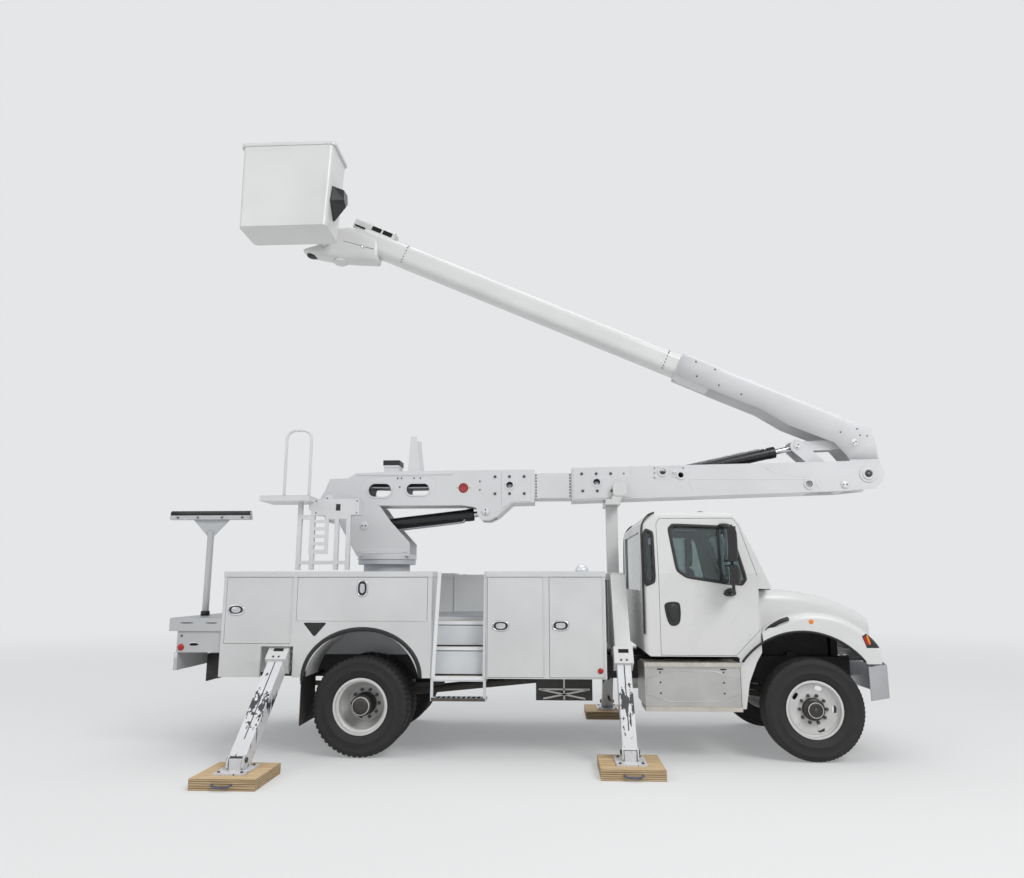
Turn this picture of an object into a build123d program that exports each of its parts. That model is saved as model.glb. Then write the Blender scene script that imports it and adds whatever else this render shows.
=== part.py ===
from build123d import *
import os
from math import atan2, cos, degrees, hypot, radians, sin

# An articulated overcentre bucket truck: a conventional cab on a two-axle chassis, a line body
# with side compartments, four A-frame outriggers and a two-piece boom with an insulated bucket.
# Millimetres. X forward, Y to the driver's left, Z up from the ground.

os.makedirs("parts", exist_ok=True)

# Stations are measured forward from the rear axle; at() turns one into X of this frame, whose
# origin lies on the ground midway between the elbow's front end and the end of the bucket rest.
front_reach = 6170
rear_overhang = 2550
mid_station = (front_reach - rear_overhang) / 2


datum = 0


def at(station):
    """X of a station, which counts from the datum: 0 for the rear axle, the wheelbase for the front one."""
    return datum + station - mid_station


def points(table):
    """Rows of (station, height) as points of the XZ plane."""
    return [(at(station), height) for station, height in table]


# Wheels and axles
wheelbase = 4851
tyre_radius = 527
tyre_width = 280
rim_radius = 286
rim_flange = 299
rim_gap = 0.4
front_wheel_y = 1010
rear_outer_y = 1050
dual_spacing = 343
kingpin_y = 850
kingpin_radius = 22
spindle_radius = 38
running_gap = 0.3
clearance = 6

# Ladder frame
rail_outer_y = 432
rail_height = 254
rail_flange = 78
rail_wall = 9
frame_top = 1010
frame_rear = -2040

# Cab
cab_half = 1120
tumblehome = 110
cab_roof_half = cab_half - tumblehome
cab_wall = 45
cab_floor = 1065
cab_back = -1761
cab_roof = 2635
glass = 6
seat_y = 520
hood_pin = (849, 1000)
frame_nose = 649

# Line body
body_half = 1219
pack_depth = 519
pack_wall = 20
body_bottom = 834
body_top = 1970
rim_height = 60
door_thick = 30
door_gap = 4
deck_top = 1460
deck_thick = 25
body_rear = -1570
cab_gap = 420
body_front = wheelbase + cab_back - cab_gap
step_rear = 770
step_front = 1370
front_split = (step_front + body_front) / 2 + 8

# Turret, booms and their pins, as stations and heights
turret_base = 2130
pivot = (-700, 2880)
lift_base = (-250, 2545)
lift_eye = (1270, 2720)
elbow = (5980, 3160)
lever_pin = (5690, 3030)
link_pin = (5180, 3530)
link_far = (5860, 3560)
elbow_base = (3620, 3190)
tip_pin = (-950, 6390)
lower_half = 220
boom_plate = 22
eye_half = 44
upper_half = 150
upper_wall = 16
fold_slope = 23.2

# Bucket
bucket_near = -300
bucket_depth = 600
bucket_bottom = tip_pin[1] - 90
bucket_height = 1140
bucket_top = bucket_bottom + bucket_height
bucket_wall = 14
bucket_rear = -1855
bucket_floor_length = 1130
bucket_mouth_length = 1188
bucket_lip = 14
boss_gap = 4

# Outriggers
rear_leg_x = -910
front_leg_x = body_front + 180
pad_thick = 100


def plane_y(y):
    """The XZ plane at the given Y."""
    return Plane.XZ.offset(-y)


def outline(profile, y):
    """A face of the given (station, height) outline on the XZ plane at Y."""
    with BuildSketch(plane_y(y)) as made:
        with BuildLine():
            Polyline(*points(profile), close=True)
        make_face()
    return made.sketch


def plate(profile, y_low, y_high, mode=Mode.ADD):
    """Adds or cuts a flat solid of the given outline between two values of Y."""
    extrude(outline(profile, y_high), amount=y_high - y_low, mode=mode)


def block(station_low, station_high, y_low, y_high, z_low, z_high, mode=Mode.ADD):
    """Adds or cuts a plain box between the given stations, widths and heights."""
    centre = (at((station_low + station_high) / 2), (y_low + y_high) / 2, (z_low + z_high) / 2)
    with Locations(centre):
        Box(station_high - station_low, y_high - y_low, z_high - z_low, mode=mode)


def rod_y(pin, radius, y_low, y_high, mode=Mode.ADD):
    """Adds or cuts a round bar along Y through a pin's station and height."""
    with Locations(Location((at(pin[0]), (y_low + y_high) / 2, pin[1]), (90, 0, 0))):
        Cylinder(radius, y_high - y_low, mode=mode)


def strap(pin_a, pin_b, radius_a, radius_b, y_low, y_high):
    """Adds a flat link with round ends between two pins."""
    with BuildSketch(plane_y(y_high)) as made:
        with Locations((at(pin_a[0]), pin_a[1])):
            Circle(radius_a)
        with Locations((at(pin_b[0]), pin_b[1])):
            Circle(radius_b)
        make_hull()
    extrude(made.sketch, amount=y_high - y_low)


def rod_z(station, y, radius, z_low, z_high, mode=Mode.ADD):
    """Adds or cuts an upright round bar."""
    with Locations((at(station), y, (z_low + z_high) / 2)):
        Cylinder(radius, z_high - z_low, mode=mode)


def keep(piece, name):
    """Labels a finished piece and writes its file."""
    piece.part.label = name
    export_step(piece.part, f"parts/{name}.step")


# Ladder frame: two channel rails, crossmembers, spring hangers and the rear pintle plate
rail_bottom = frame_top - rail_height
spring_y = (438, 546)
frame_front = wheelbase + frame_nose
crossmembers = ((-1900, 786), (-900, 786), (900, 786), (2200, 786), (front_leg_x, 860), (frame_front - 55, 786))
cab_mounts = (wheelbase + cab_back + 110, wheelbase + cab_back + 920)
rear_hangers = (-780, 780)
front_hangers = (wheelbase - 620, wheelbase + 560)
flap_station = -645
flap_edges = (700, 1205)
flap_bottom = 330
flap_top = 796
tank_stations = (1900, 2530)
tank_edge = 800
pintle_z = 770
with BuildPart() as frame:
    block(frame_rear, frame_front, rail_outer_y - rail_flange, rail_outer_y, rail_bottom, frame_top)
    block(frame_rear, frame_front, rail_outer_y - rail_flange - 1, rail_outer_y - rail_wall,
              rail_bottom + rail_wall, frame_top - rail_wall, mode=Mode.SUBTRACT)
    for station in rear_hangers:
        block(station - 45, station + 45, rail_outer_y, spring_y[1], rail_bottom - 40, frame_top - 60)
    mirror(about=Plane.XZ)
    for station in cab_mounts:
        for side in (-1, 1):
            mount_y = side * (rail_outer_y - rail_flange / 2)
            block(station - 40, station + 40, mount_y - 35, mount_y + 35, frame_top, cab_floor)
    for station, member_bottom in crossmembers:
        block(station - 40, station + 40, -rail_outer_y + rail_wall, rail_outer_y - rail_wall,
              member_bottom, frame_top - 30)
    for station in front_hangers:
        for side in (-1, 1):
            y_mid = side * (rail_outer_y - rail_flange / 2)
            block(station - 40, station + 40, y_mid - 38, y_mid + 38, rail_bottom - 120, rail_bottom)
    block(frame_rear - 20, frame_rear, -rail_outer_y + 6, rail_outer_y - 6, 690, frame_top)
    for side in (-1, 1):
        hanger = sorted((side * (rail_outer_y - 8), side * flap_edges[1]))
        block(flap_station - 16, flap_station + 16, *hanger, flap_top, body_bottom - 6)
        block(flap_station - 5, flap_station + 5, *sorted(side * y for y in flap_edges), flap_bottom, flap_top + 4)
    block(*tank_stations, -tank_edge, -rail_outer_y + 6, 555, 800)
    block(frame_rear - 34, frame_rear - 16, -95, 95, pintle_z - 90, pintle_z + 110)
    plate([(frame_rear - 30, pintle_z + 46), (frame_rear - 78, pintle_z + 52), (frame_rear - 112, pintle_z + 20),
           (frame_rear - 112, pintle_z - 20), (frame_rear - 84, pintle_z - 46), (frame_rear - 58, pintle_z - 46),
           (frame_rear - 48, pintle_z - 26), (frame_rear - 74, pintle_z - 18), (frame_rear - 82, pintle_z + 8),
           (frame_rear - 30, pintle_z - 8)], -30, 30)
keep(frame, "frame")

# Front axle: a dropped I-beam with kingpins and its leaf springs
beam_z = 440
with BuildPart() as front_axle:
    with BuildSketch(Plane.YZ.offset(at(wheelbase) - 45)):
        with BuildLine():
            Polyline((0, beam_z - 50), (560, beam_z - 50), (kingpin_y - 85, tyre_radius - 55),
                     (kingpin_y, tyre_radius - 55), (kingpin_y, tyre_radius + 55),
                     (kingpin_y - 90, tyre_radius + 55), (540, beam_z + 50), (0, beam_z + 50), close=True)
        make_face()
    extrude(amount=90)
    with Locations((at(wheelbase), kingpin_y, tyre_radius)):
        Cylinder(48, 110)
        Cylinder(kingpin_radius, 250)
    for side in (-1, 1):
        with BuildSketch(Plane.YZ.offset(at(wheelbase) + side * 45)):
            with BuildLine():
                Polyline((-1, beam_z - 26), (540, beam_z - 26), (kingpin_y - 110, tyre_radius - 25),
                         (kingpin_y - 110, tyre_radius + 12), (530, beam_z + 26), (-1, beam_z + 26),
                         close=True)
            make_face()
        extrude(amount=-side * 28, mode=Mode.SUBTRACT)
    plate([(front_hangers[0] - 30, 600), (wheelbase - 90, 510), (wheelbase + 90, 510),
               (front_hangers[1] + 30, 600), (front_hangers[1] + 30, rail_bottom - 120),
               (front_hangers[1] - 60, rail_bottom - 120), (wheelbase + 110, 575), (wheelbase - 110, 575),
               (front_hangers[0] + 60, rail_bottom - 120), (front_hangers[0] - 30, rail_bottom - 120)],
              rail_outer_y - rail_flange, rail_outer_y)
    block(wheelbase - 80, wheelbase + 80, 350, 436, beam_z + 40, 512)
    mirror(about=Plane.XZ)
keep(front_axle, "front_axle")

# Steering knuckles: a yoke round the kingpin boss, and the spindle that carries the wheel
with BuildPart() as knuckle_right:
    yoke_top = tyre_radius + 55 + running_gap
    yoke_bottom = tyre_radius - 55 - running_gap
    block(wheelbase - 50, wheelbase + 50, -kingpin_y - 80, -kingpin_y + 45, yoke_top, yoke_top + 50)
    block(wheelbase - 50, wheelbase + 50, -kingpin_y - 80, -kingpin_y + 45, yoke_bottom - 50, yoke_bottom)
    block(wheelbase - 50, wheelbase + 50, -kingpin_y - 80, -kingpin_y - 55, yoke_bottom - 50, yoke_top + 50)
    with Locations((at(wheelbase), -kingpin_y, tyre_radius)):
        Cylinder(kingpin_radius + running_gap, 260, mode=Mode.SUBTRACT)
    rod_y((wheelbase, tyre_radius), spindle_radius, -front_wheel_y - 85, -kingpin_y - 75)
    block(wheelbase - 190, wheelbase - 45, -kingpin_y - 55, -kingpin_y - 10, yoke_bottom - 48,
          yoke_bottom - 16)
keep(knuckle_right, "knuckle_right")
with BuildPart() as knuckle_left:
    mirror(knuckle_right.part, about=Plane.XZ)
keep(knuckle_left, "knuckle_left")

# Rear axle: banjo housing with spindles, and two leaf packs under the hangers
housing_radius = 70
with BuildPart() as rear_axle:
    rod_y((0, tyre_radius), housing_radius, 0, 560)
    rod_y((0, tyre_radius), spindle_radius, 540, rear_outer_y + 85)
    rod_y((0, tyre_radius), 175, 548, 560)
    with Locations(Location((at(40), 0, tyre_radius), (0, 90, 0))):
        Cylinder(190, 300)
    plate([(rear_hangers[0] - 45, rail_bottom - 40), (rear_hangers[0] - 45, rail_bottom - 75), (-90, 600),
               (90, 600), (rear_hangers[1] + 45, rail_bottom - 75), (rear_hangers[1] + 45, rail_bottom - 40),
               (120, 690), (-120, 690)], spring_y[0] + 20, spring_y[1] - 4)
    block(-80, 80, spring_y[0] + 20, spring_y[1] - 4, tyre_radius, 605)
    mirror(about=Plane.XZ)
keep(rear_axle, "rear_axle")


# Wheels: a pressed steel disc wheel is a drop-centre barrel with a dished disc and a hub
def barrel_section(y_mid, disc_y, disc_edge, hub_y, hub_radius, bore):
    """Half section of one wheel, in (radius, Y), revolved about the axle."""
    half = tyre_width / 2 - 25
    with BuildPart() as made:
        with BuildSketch(Plane.XY):
            with BuildLine():
                Polyline((rim_flange, y_mid - half), (rim_flange, y_mid - half + 12),
                         (rim_radius, y_mid - half + 14), (rim_radius, y_mid - 60),
                         (rim_radius - 26, y_mid - 45), (rim_radius - 26, y_mid + 45),
                         (rim_radius, y_mid + 60), (rim_radius, y_mid + half - 14),
                         (rim_flange, y_mid + half - 12), (rim_flange, y_mid + half),
                         (rim_radius - 10, y_mid + half), (rim_radius - 10, y_mid + 66),
                         (rim_radius - 36, y_mid + 50), (rim_radius - 36, y_mid - 50),
                         (rim_radius - 10, y_mid - 66), (rim_radius - 10, y_mid - half), close=True)
            make_face()
            with BuildLine():
                Polyline((disc_edge, disc_y - 6), (disc_edge, disc_y + 6), (190, hub_y + 6),
                         (bore, hub_y + 6), (bore, hub_y - 6), (190, hub_y - 6), close=True)
            make_face()
            with BuildLine():
                Polyline((bore, hub_y - 60), (hub_radius, hub_y - 60), (hub_radius, hub_y + 60),
                         (bore, hub_y + 60), close=True)
            make_face()
        revolve(axis=Axis.Y)
    return made.part


def tyre_solid(y_mid):
    """One tyre: bead to bead over a rounded tread, with three tread grooves."""
    half = tyre_width / 2
    tread = tyre_radius
    with BuildPart() as made:
        with BuildSketch(Plane.XY):
            with BuildLine():
                Polyline((rim_radius + rim_gap, y_mid - half + 41), (rim_flange + rim_gap, y_mid - half + 39),
                         (rim_flange + 2, y_mid - half + 22),
                         (rim_flange + 60, y_mid - half), (tread - 90, y_mid - half + 2),
                         (tread - 22, y_mid - half + 20), (tread, y_mid - half + 34),
                         (tread, y_mid + half - 34), (tread - 22, y_mid + half - 20),
                         (tread - 90, y_mid + half - 2), (rim_flange + 60, y_mid + half),
                         (rim_flange + 2, y_mid + half - 22), (rim_flange + rim_gap, y_mid + half - 39),
                         (rim_radius + rim_gap, y_mid + half - 41), close=True)
            make_face()
            for groove in (-60, 0, 60):
                with Locations((tread, y_mid + groove)):
                    Rectangle(24, 10, mode=Mode.SUBTRACT)
        revolve(axis=Axis.Y)
    return made.part


def wheel_place(station):
    return Pos(at(station), 0, tyre_radius)


hub_bore = spindle_radius + running_gap
hand_holes = 5
front_wheel = barrel_section(-front_wheel_y, -front_wheel_y - 55, rim_radius - 30, -front_wheel_y - 40, 110,
                             hub_bore)
front_tyre = wheel_place(wheelbase) * tyre_solid(-front_wheel_y)
with BuildPart() as front_rim_right:
    with Locations(wheel_place(wheelbase)):
        add(front_wheel)
    rod_y((wheelbase, tyre_radius), 80, -front_wheel_y - 150, -front_wheel_y - 99)
    with BuildSketch(plane_y(-front_wheel_y)):
        with Locations((at(wheelbase), tyre_radius)):
            with PolarLocations(222, hand_holes):
                SlotOverall(80, 44, rotation=90)
    extrude(amount=110, mode=Mode.SUBTRACT)
keep(front_rim_right, "front_rim_right")
with BuildPart() as front_rim_left:
    mirror(front_rim_right.part, about=Plane.XZ)
keep(front_rim_left, "front_rim_left")
with BuildPart() as front_tyre_right:
    add(front_tyre)
keep(front_tyre_right, "front_tyre_right")
with BuildPart() as front_tyre_left:
    mirror(front_tyre_right.part, about=Plane.XZ)
keep(front_tyre_left, "front_tyre_left")

inner_y = rear_outer_y - dual_spacing
disc_plane = (rear_outer_y + inner_y) / 2
outer_wheel = barrel_section(-rear_outer_y, -rear_outer_y + 75, rim_radius - 8, -disc_plane - 6, 120, hub_bore)
inner_wheel = barrel_section(-inner_y, -inner_y - 75, rim_radius - 8, -disc_plane + 6, 120, hub_bore)
twin_tyres = [wheel_place(0) * tyre_solid(-y_mid) for y_mid in (rear_outer_y, inner_y)]
with BuildPart() as rear_rims_right:
    with Locations(wheel_place(0)):
        add(outer_wheel)
        add(inner_wheel)
    rod_y((0, tyre_radius), 95, -rear_outer_y - 95, -disc_plane)
    rod_y((0, tyre_radius), hub_bore, -rear_outer_y - 90, -inner_y, mode=Mode.SUBTRACT)
keep(rear_rims_right, "rear_rims_right")
with BuildPart() as rear_rims_left:
    mirror(rear_rims_right.part, about=Plane.XZ)
keep(rear_rims_left, "rear_rims_left")
with BuildPart() as rear_tyres_right:
    add(twin_tyres)
keep(rear_tyres_right, "rear_tyres_right")
with BuildPart() as rear_tyres_left:
    mirror(rear_tyres_right.part, about=Plane.XZ)
keep(rear_tyres_left, "rear_tyres_left")

# From here to the fuel tank, stations count from the front axle, which the cab and hood follow
datum = wheelbase

# Engine as one plain block with the radiator ahead of it; gearbox and driveshaft behind
with BuildPart() as powertrain:
    block(-291, 449, -330, 330, 700, 1480)
    block(479, 554, -345, 345, 800, 1440)
    for side in (-1, 1):
        mount_edges = sorted((side * 325, side * (rail_outer_y - 12)))
        block(-51, 49, *mount_edges, frame_top, frame_top + 45)
    block(-951, -291, -230, 230, 690, 1040)
    block(-1351, -951, -150, 150, 720, 980)
    shaft_from = (at(-1351), 0, 850)
    shaft_to = (at(205 - wheelbase), 0, tyre_radius)
    reach = Vector(*shaft_from) - Vector(*shaft_to)
    with BuildSketch(Plane(origin=shaft_to, z_dir=reach)):
        Circle(50)
    extrude(amount=reach.length)
keep(powertrain, "powertrain")

# Cab: a pressed shell, hollow, with door openings and windows cut through one wall thickness
screen_top = (-661, 2500)
screen_base = (-371, 1780)
door_front = -514
cab_corner = 60


def cab_form(inset):
    """The closed outer form of the cab, drawn in by the given inset all round."""
    side = [(cab_back + inset, 1110 + inset), (cab_back + 60, cab_floor + inset),
            (-781 - inset * 0.41, cab_floor + inset), (door_front - inset, 1331 + inset * 0.41),
            (door_front - inset, screen_base[1] + inset), (screen_base[0] - inset * 1.48, screen_base[1] + inset),
            (screen_top[0] - inset * 0.92, screen_top[1] - inset * 0.4),
            (-791 - inset * 0.42, cab_roof - inset), (-1621 + inset * 0.42, cab_roof - inset),
            (cab_back + inset, 2500 - inset * 0.4)]
    with BuildPart() as made:
        extrude(outline(side, 0), amount=cab_half - inset, both=True)
        for turn in (-1, 1):
            with BuildSketch(Plane.YZ.offset(at(cab_back - 100))):
                with BuildLine():
                    Polyline((turn * (cab_half - inset), 1950), (turn * (cab_roof_half - inset), cab_roof + 1),
                             (turn * (cab_half + 50), cab_roof + 1), (turn * (cab_half + 50), 1950), close=True)
                make_face()
            extrude(amount=1700, mode=Mode.SUBTRACT)
        rounded = []
        for edge in made.edges():
            middle = edge.center()
            at_side = abs(middle.Y) > cab_roof_half - inset - 2 and abs(edge.tangent_at(0.5).Y) < 0.5
            at_rear = middle.X < at(cab_back + cab_wall + 116) and middle.Z > 1300
            at_roof = middle.Z > cab_roof - inset - 2
            if at_side and (at_rear or at_roof):
                rounded.append(edge)
        fillet(rounded, radius=cab_corner - inset * 0.9)
    return made.part


def side_skin(outer, inner, profile, seam=0):
    """The part of the right side wall, between two depths, that lies within an outline."""
    with BuildPart() as made:
        with BuildSketch(Plane.YZ.offset(at(cab_back - 100))):
            with BuildLine():
                Polyline((-cab_half + outer, 900), (-cab_half + outer, 1950),
                         (-cab_roof_half + outer, cab_roof + 1), (-cab_roof_half + inner, cab_roof + 1),
                         (-cab_half + inner, 1950), (-cab_half + inner, 900), close=True)
            make_face()
        extrude(amount=1700)
        with BuildSketch(plane_y(-600)):
            with BuildLine():
                Polyline(*points(profile), close=True)
            make_face()
            if seam:
                offset(amount=-seam, kind=Kind.INTERSECTION, mode=Mode.REPLACE)
        extrude(amount=700, mode=Mode.INTERSECT)
    return made.part


door_outline = [(-1589, 1075), (-789, 1075), (-526, 1335), (-520, 1926), (-675, 2478), (-731, 2560), (-1551, 2560),
                (-1589, 2500)]
door_window = [(-1404, 2485), (-861, 2460), (-766, 2410), (-645, 1885), (-687, 1832), (-851, 1842), (-1281, 1912),
               (-1381, 1985), (-1446, 2440)]
back_window = (cab_half - 260, 1760, 2420)
corner_window = [(-1731, 1820), (-1636, 1860), (-1636, 2400), (-1701, 2430), (-1731, 2380)]
skirt = [(-781, 1065), (-754, 1050), (-754, 530), (-710, 528), (-663, 797), (-577, 1006), (-514, 1110),
         (-514, 1331)]
seam = 4
glass_depth = 18
cab_outer = cab_form(0)
cab_inner = cab_form(cab_wall)
glass_outer = cab_form(glass_depth)
glass_inner = cab_form(glass_depth + glass)
door_opening = side_skin(-10, cab_wall + 2, door_outline)
corner_opening = side_skin(-10, cab_wall + 2, corner_window)
corner_pane = side_skin(glass_depth, glass_depth + glass, corner_window)
door_blank = side_skin(0, cab_wall, door_outline, seam)
hinge_low, hinge_high = door_outline[2:4]
hinge_edge = [(hinge_low[0] - 40, hinge_low[1] + 12), (hinge_low[0] - running_gap, hinge_low[1] + 12),
              (hinge_high[0] - running_gap, hinge_high[1] - 12), (hinge_low[0] - 40, hinge_high[1] - 12)]
door_edge = side_skin(0, cab_wall, hinge_edge)
door_pane = side_skin(glass_depth, glass_depth + glass, door_window)


def screen_prism(edge, mode):
    """Cuts or keeps what lies behind the windscreen's outline, whose edge is drawn in by the given amount."""
    with BuildSketch(Plane.YZ.offset(at(-791))) as made:
        with BuildLine():
            Polyline((-cab_half + 190 + edge, 1840 + edge), (cab_half - 190 - edge, 1840 + edge),
                     (cab_roof_half - 170 - edge, 2455 - edge), (-cab_roof_half + 170 + edge, 2455 - edge),
                     close=True)
        make_face()
    extrude(made.sketch, amount=500, mode=mode)


with BuildPart() as cab_shell:
    add(cab_outer)
    add(cab_inner, mode=Mode.SUBTRACT)
    for opening in (door_opening, corner_opening):
        add(opening, mode=Mode.SUBTRACT)
        mirror(opening, about=Plane.XZ, mode=Mode.SUBTRACT)
    block(cab_back - 20, cab_back + cab_wall + 10, -back_window[0], back_window[0], *back_window[1:],
          mode=Mode.SUBTRACT)
    screen_prism(0, Mode.SUBTRACT)
    for skirt_y in (-cab_half, cab_half - 25):
        plate(skirt, skirt_y, skirt_y + 25)
keep(cab_shell, "cab_shell")

with BuildPart() as cab_glass:
    add(glass_outer)
    add(glass_inner, mode=Mode.SUBTRACT)
    screen_prism(0, Mode.INTERSECT)
    block(cab_back + glass_depth, cab_back + glass_depth + glass, -back_window[0], back_window[0],
          *back_window[1:])
    add(corner_pane)
    mirror(corner_pane, about=Plane.XZ)
keep(cab_glass, "cab_glass")

with BuildPart() as door_glass_right:
    add(door_pane)
keep(door_glass_right, "door_glass_right")
with BuildPart() as door_glass_left:
    mirror(door_glass_right.part, about=Plane.XZ)
keep(door_glass_left, "door_glass_left")

# Cab doors, each carrying a tall flat mirror over a convex one, on two arms from the door's front
mirror_y = (-cab_half - 320, -cab_half - 110)
mirror_post_y = (-cab_half - 225, -cab_half - 201)
with BuildPart() as cab_door_right:
    add(door_blank)
    add(door_edge)
    plate(door_window, -cab_half - 50, -600, mode=Mode.SUBTRACT)
    block(-891, -801, *mirror_y, 2070, 2440)
    block(-886, -801, *mirror_y, 1830, 2035)
    rod_y((-831, 2450), 12, mirror_y[0] + 60, -cab_half + 88)
    block(-843, -819, *mirror_post_y, 1728, 2452)
    rod_y((-831, 1740), 12, mirror_post_y[0], -cab_half + 10)
keep(cab_door_right, "cab_door_right")
with BuildPart() as cab_door_left:
    mirror(cab_door_right.part, about=Plane.XZ)
keep(cab_door_left, "cab_door_left")

# Inside the cab: two seats, the dashboard with its steering column
firewall = door_front - cab_wall
column = Plane(origin=(at(-771), seat_y, 1560), z_dir=(-0.722, 0, 0.692))
column_reach = 204
with BuildPart() as cab_interior:
    for seat_mid in (-seat_y, seat_y):
        block(-1521, -991, seat_mid - 250, seat_mid + 250, cab_floor + cab_wall, 1480)
        plate([(-1601, 1480), (-1471, 1480), (-1561, 2200), (-1671, 2200)], seat_mid - 240, seat_mid + 240)
    plate([(-861, 1700), (-711, 1738), (firewall, 1735), (firewall, 1380), (-651, 1300), (-761, 1300),
           (-831, 1500)], -cab_half + cab_wall + 75, cab_half - cab_wall - 75)
    with BuildSketch(column):
        Circle(28)
    extrude(amount=column_reach - 12 - running_gap)
keep(cab_interior, "cab_interior")
with BuildPart() as steering_wheel:
    with Locations(column.offset(column_reach)):
        Torus(215, 15)
        Cylinder(40, 24)
        with PolarLocations(120, 3):
            Box(180, 26, 12)
keep(steering_wheel, "steering_wheel")

# Hood: one moulded piece with both fenders, open below and over the wheels
hood_rear = door_front + 8
hood_front = 812
hood_wall = 22
hood_half = 850
hood_pin_radius = 14
hood_lug_y = 400
fender_half = cab_half + 50
hood_bottom = 1000
# Bonnet sections: station, half width, top, corner radius
bonnet_sections = ((hood_rear, 985, 1762, 130), (-60, 945, 1756, 130), (380, 840, 1658, 130),
                   (hood_front, 672, 1468, 120))
nose_radius = 60
fender_rear_top = 1325
fender_crest = (106, 1527)
fender_nose = (691, 1222)
fender_corner = 75


def bonnet_form(inset):
    """The closed form of the bonnet, crowned and narrowing to its nose, drawn in by the wall."""
    spare = 1 if inset else 0
    with BuildPart() as made:
        for station, half, top, radius in bonnet_sections:
            moved = station - inset if station == hood_front else station
            width = half - inset
            height = top - inset
            turn = radius - inset
            with BuildSketch(Plane.YZ.offset(at(moved - (spare if station == hood_rear else 0)))):
                with BuildLine():
                    Polyline((-width, height - turn), (-width, hood_bottom - spare), (width, hood_bottom - spare),
                             (width, height - turn))
                    RadiusArc((width, height - turn), (width - turn, height), -turn)
                    Line((width - turn, height), (turn - width, height))
                    RadiusArc((turn - width, height), (-width, height - turn), -turn)
                make_face()
        loft()
        nose = made.faces().sort_by(Axis.X)[-1]
        fillet([edge for edge in nose.edges() if edge.center().Z > hood_bottom + 20], radius=nose_radius - inset)
    return made.part


def fender_form(inset):
    """The closed form of both fenders: two arcs over the wheel, with rounded outer edges."""
    spare = 1 if inset else 0
    rear = at(hood_rear - spare)
    front_top = (at(fender_nose[0] - inset), fender_nose[1] - inset)
    crest = (at(fender_crest[0]), fender_crest[1] - inset)
    with BuildPart() as made:
        with BuildSketch(plane_y(0)):
            with BuildLine():
                Polyline((rear, fender_rear_top - inset), (rear, hood_bottom - spare),
                         (at(fender_nose[0] + 23 - inset), hood_bottom - spare),
                         (at(fender_nose[0] + 33 - inset), fender_nose[1] - 67), front_top)
                ThreePointArc(front_top, (at(430), 1435 - inset), crest)
                ThreePointArc(crest, (at(-240), 1480 - inset), (rear, fender_rear_top - inset))
            make_face()
        extrude(amount=fender_half - inset, both=True)
        crown = [edge for edge in made.edges()
                 if abs(edge.center().Y) > fender_half - inset - 1 and edge.center().Z > fender_nose[1] + 30]
        fillet(crown, radius=fender_corner - inset)
    return made.part


bonnet_outer = bonnet_form(0)
bonnet_inner = bonnet_form(hood_wall)
fender_outer = fender_form(0)
fender_inner = fender_form(hood_wall)
grille_half = 430
arch_centre = (-91, tyre_radius)
arch_radius = 810
lamp_outline = [(529, 1288), (584, 1314), (706, 1216), (711, 1166), (569, 1166)]
lamp_inner_y = 760
lamp_depth = 70


def lamp_prism(grown):
    """The right headlamp's outline through the fender, grown all round by the given gap."""
    with BuildPart() as made:
        with BuildSketch(plane_y(-lamp_inner_y + grown)):
            with BuildLine():
                Polyline(*points(lamp_outline), close=True)
            make_face()
            if grown:
                offset(amount=grown, kind=Kind.INTERSECTION, mode=Mode.REPLACE)
        extrude(amount=fender_half - lamp_inner_y + 60)
    return made.part


lamp_body = lamp_prism(0)
lamp_pocket = lamp_prism(running_gap)
with BuildPart() as hood:
    add(bonnet_outer)
    add(fender_outer)
    add(bonnet_inner, mode=Mode.SUBTRACT)
    add(fender_inner, mode=Mode.SUBTRACT)
    rod_y(arch_centre, arch_radius, -1400, 1400, mode=Mode.SUBTRACT)
    block(729, 849, -grille_half, grille_half, 1090, 1400, mode=Mode.SUBTRACT)
    add(lamp_pocket, mode=Mode.SUBTRACT)
    mirror(lamp_pocket, about=Plane.XZ, mode=Mode.SUBTRACT)
    for side in (-1, 1):
        strap(hood_pin, (794, 1045), 27, 16, side * hood_lug_y - 15, side * hood_lug_y + 15)
        rod_y(hood_pin, hood_pin_radius + running_gap, side * hood_lug_y - 40, side * hood_lug_y + 40,
              mode=Mode.SUBTRACT)
keep(hood, "hood")
with BuildPart() as grille:
    for bar in range(6):
        block(774, 799, -grille_half, grille_half, 1090 + bar * 58, 1108 + bar * 58)
    for post in (-grille_half, -7, grille_half - 14):
        block(764, 781, post, post + 14, 1090, 1400)
keep(grille, "grille")
with BuildPart() as headlamps:
    add(fender_outer)
    add(lamp_body, mode=Mode.INTERSECT)
    mirror(about=Plane.XZ)
keep(headlamps, "headlamps")

# Bumper: a bright steel channel whose ends sweep back
with BuildPart() as bumper:
    with BuildSketch(Plane.XY.offset(630)):
        with BuildLine():
            Polyline((at(929), -700), (at(929), 700), (at(849), 960), (at(579), 1180), (at(569), 1170),
                     (at(839), 950), (at(915), 695), (at(915), -695), (at(839), -950), (at(569), -1170),
                     (at(579), -1180), (at(849), -960), close=True)
        make_face()
    extrude(amount=345)
    for side in (-1, 1):
        mid = side * hood_lug_y
        block(frame_nose, 919, mid - 32, mid + 32, 800, 960)
        for ear in (-26, 26):
            block(hood_pin[0] - 20, hood_pin[0] + 20, mid + ear - 6, mid + ear + 6, 955, hood_pin[1] + 18)
        rod_y(hood_pin, hood_pin_radius, mid - 32, mid + 32)
keep(bumper, "bumper")

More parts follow.
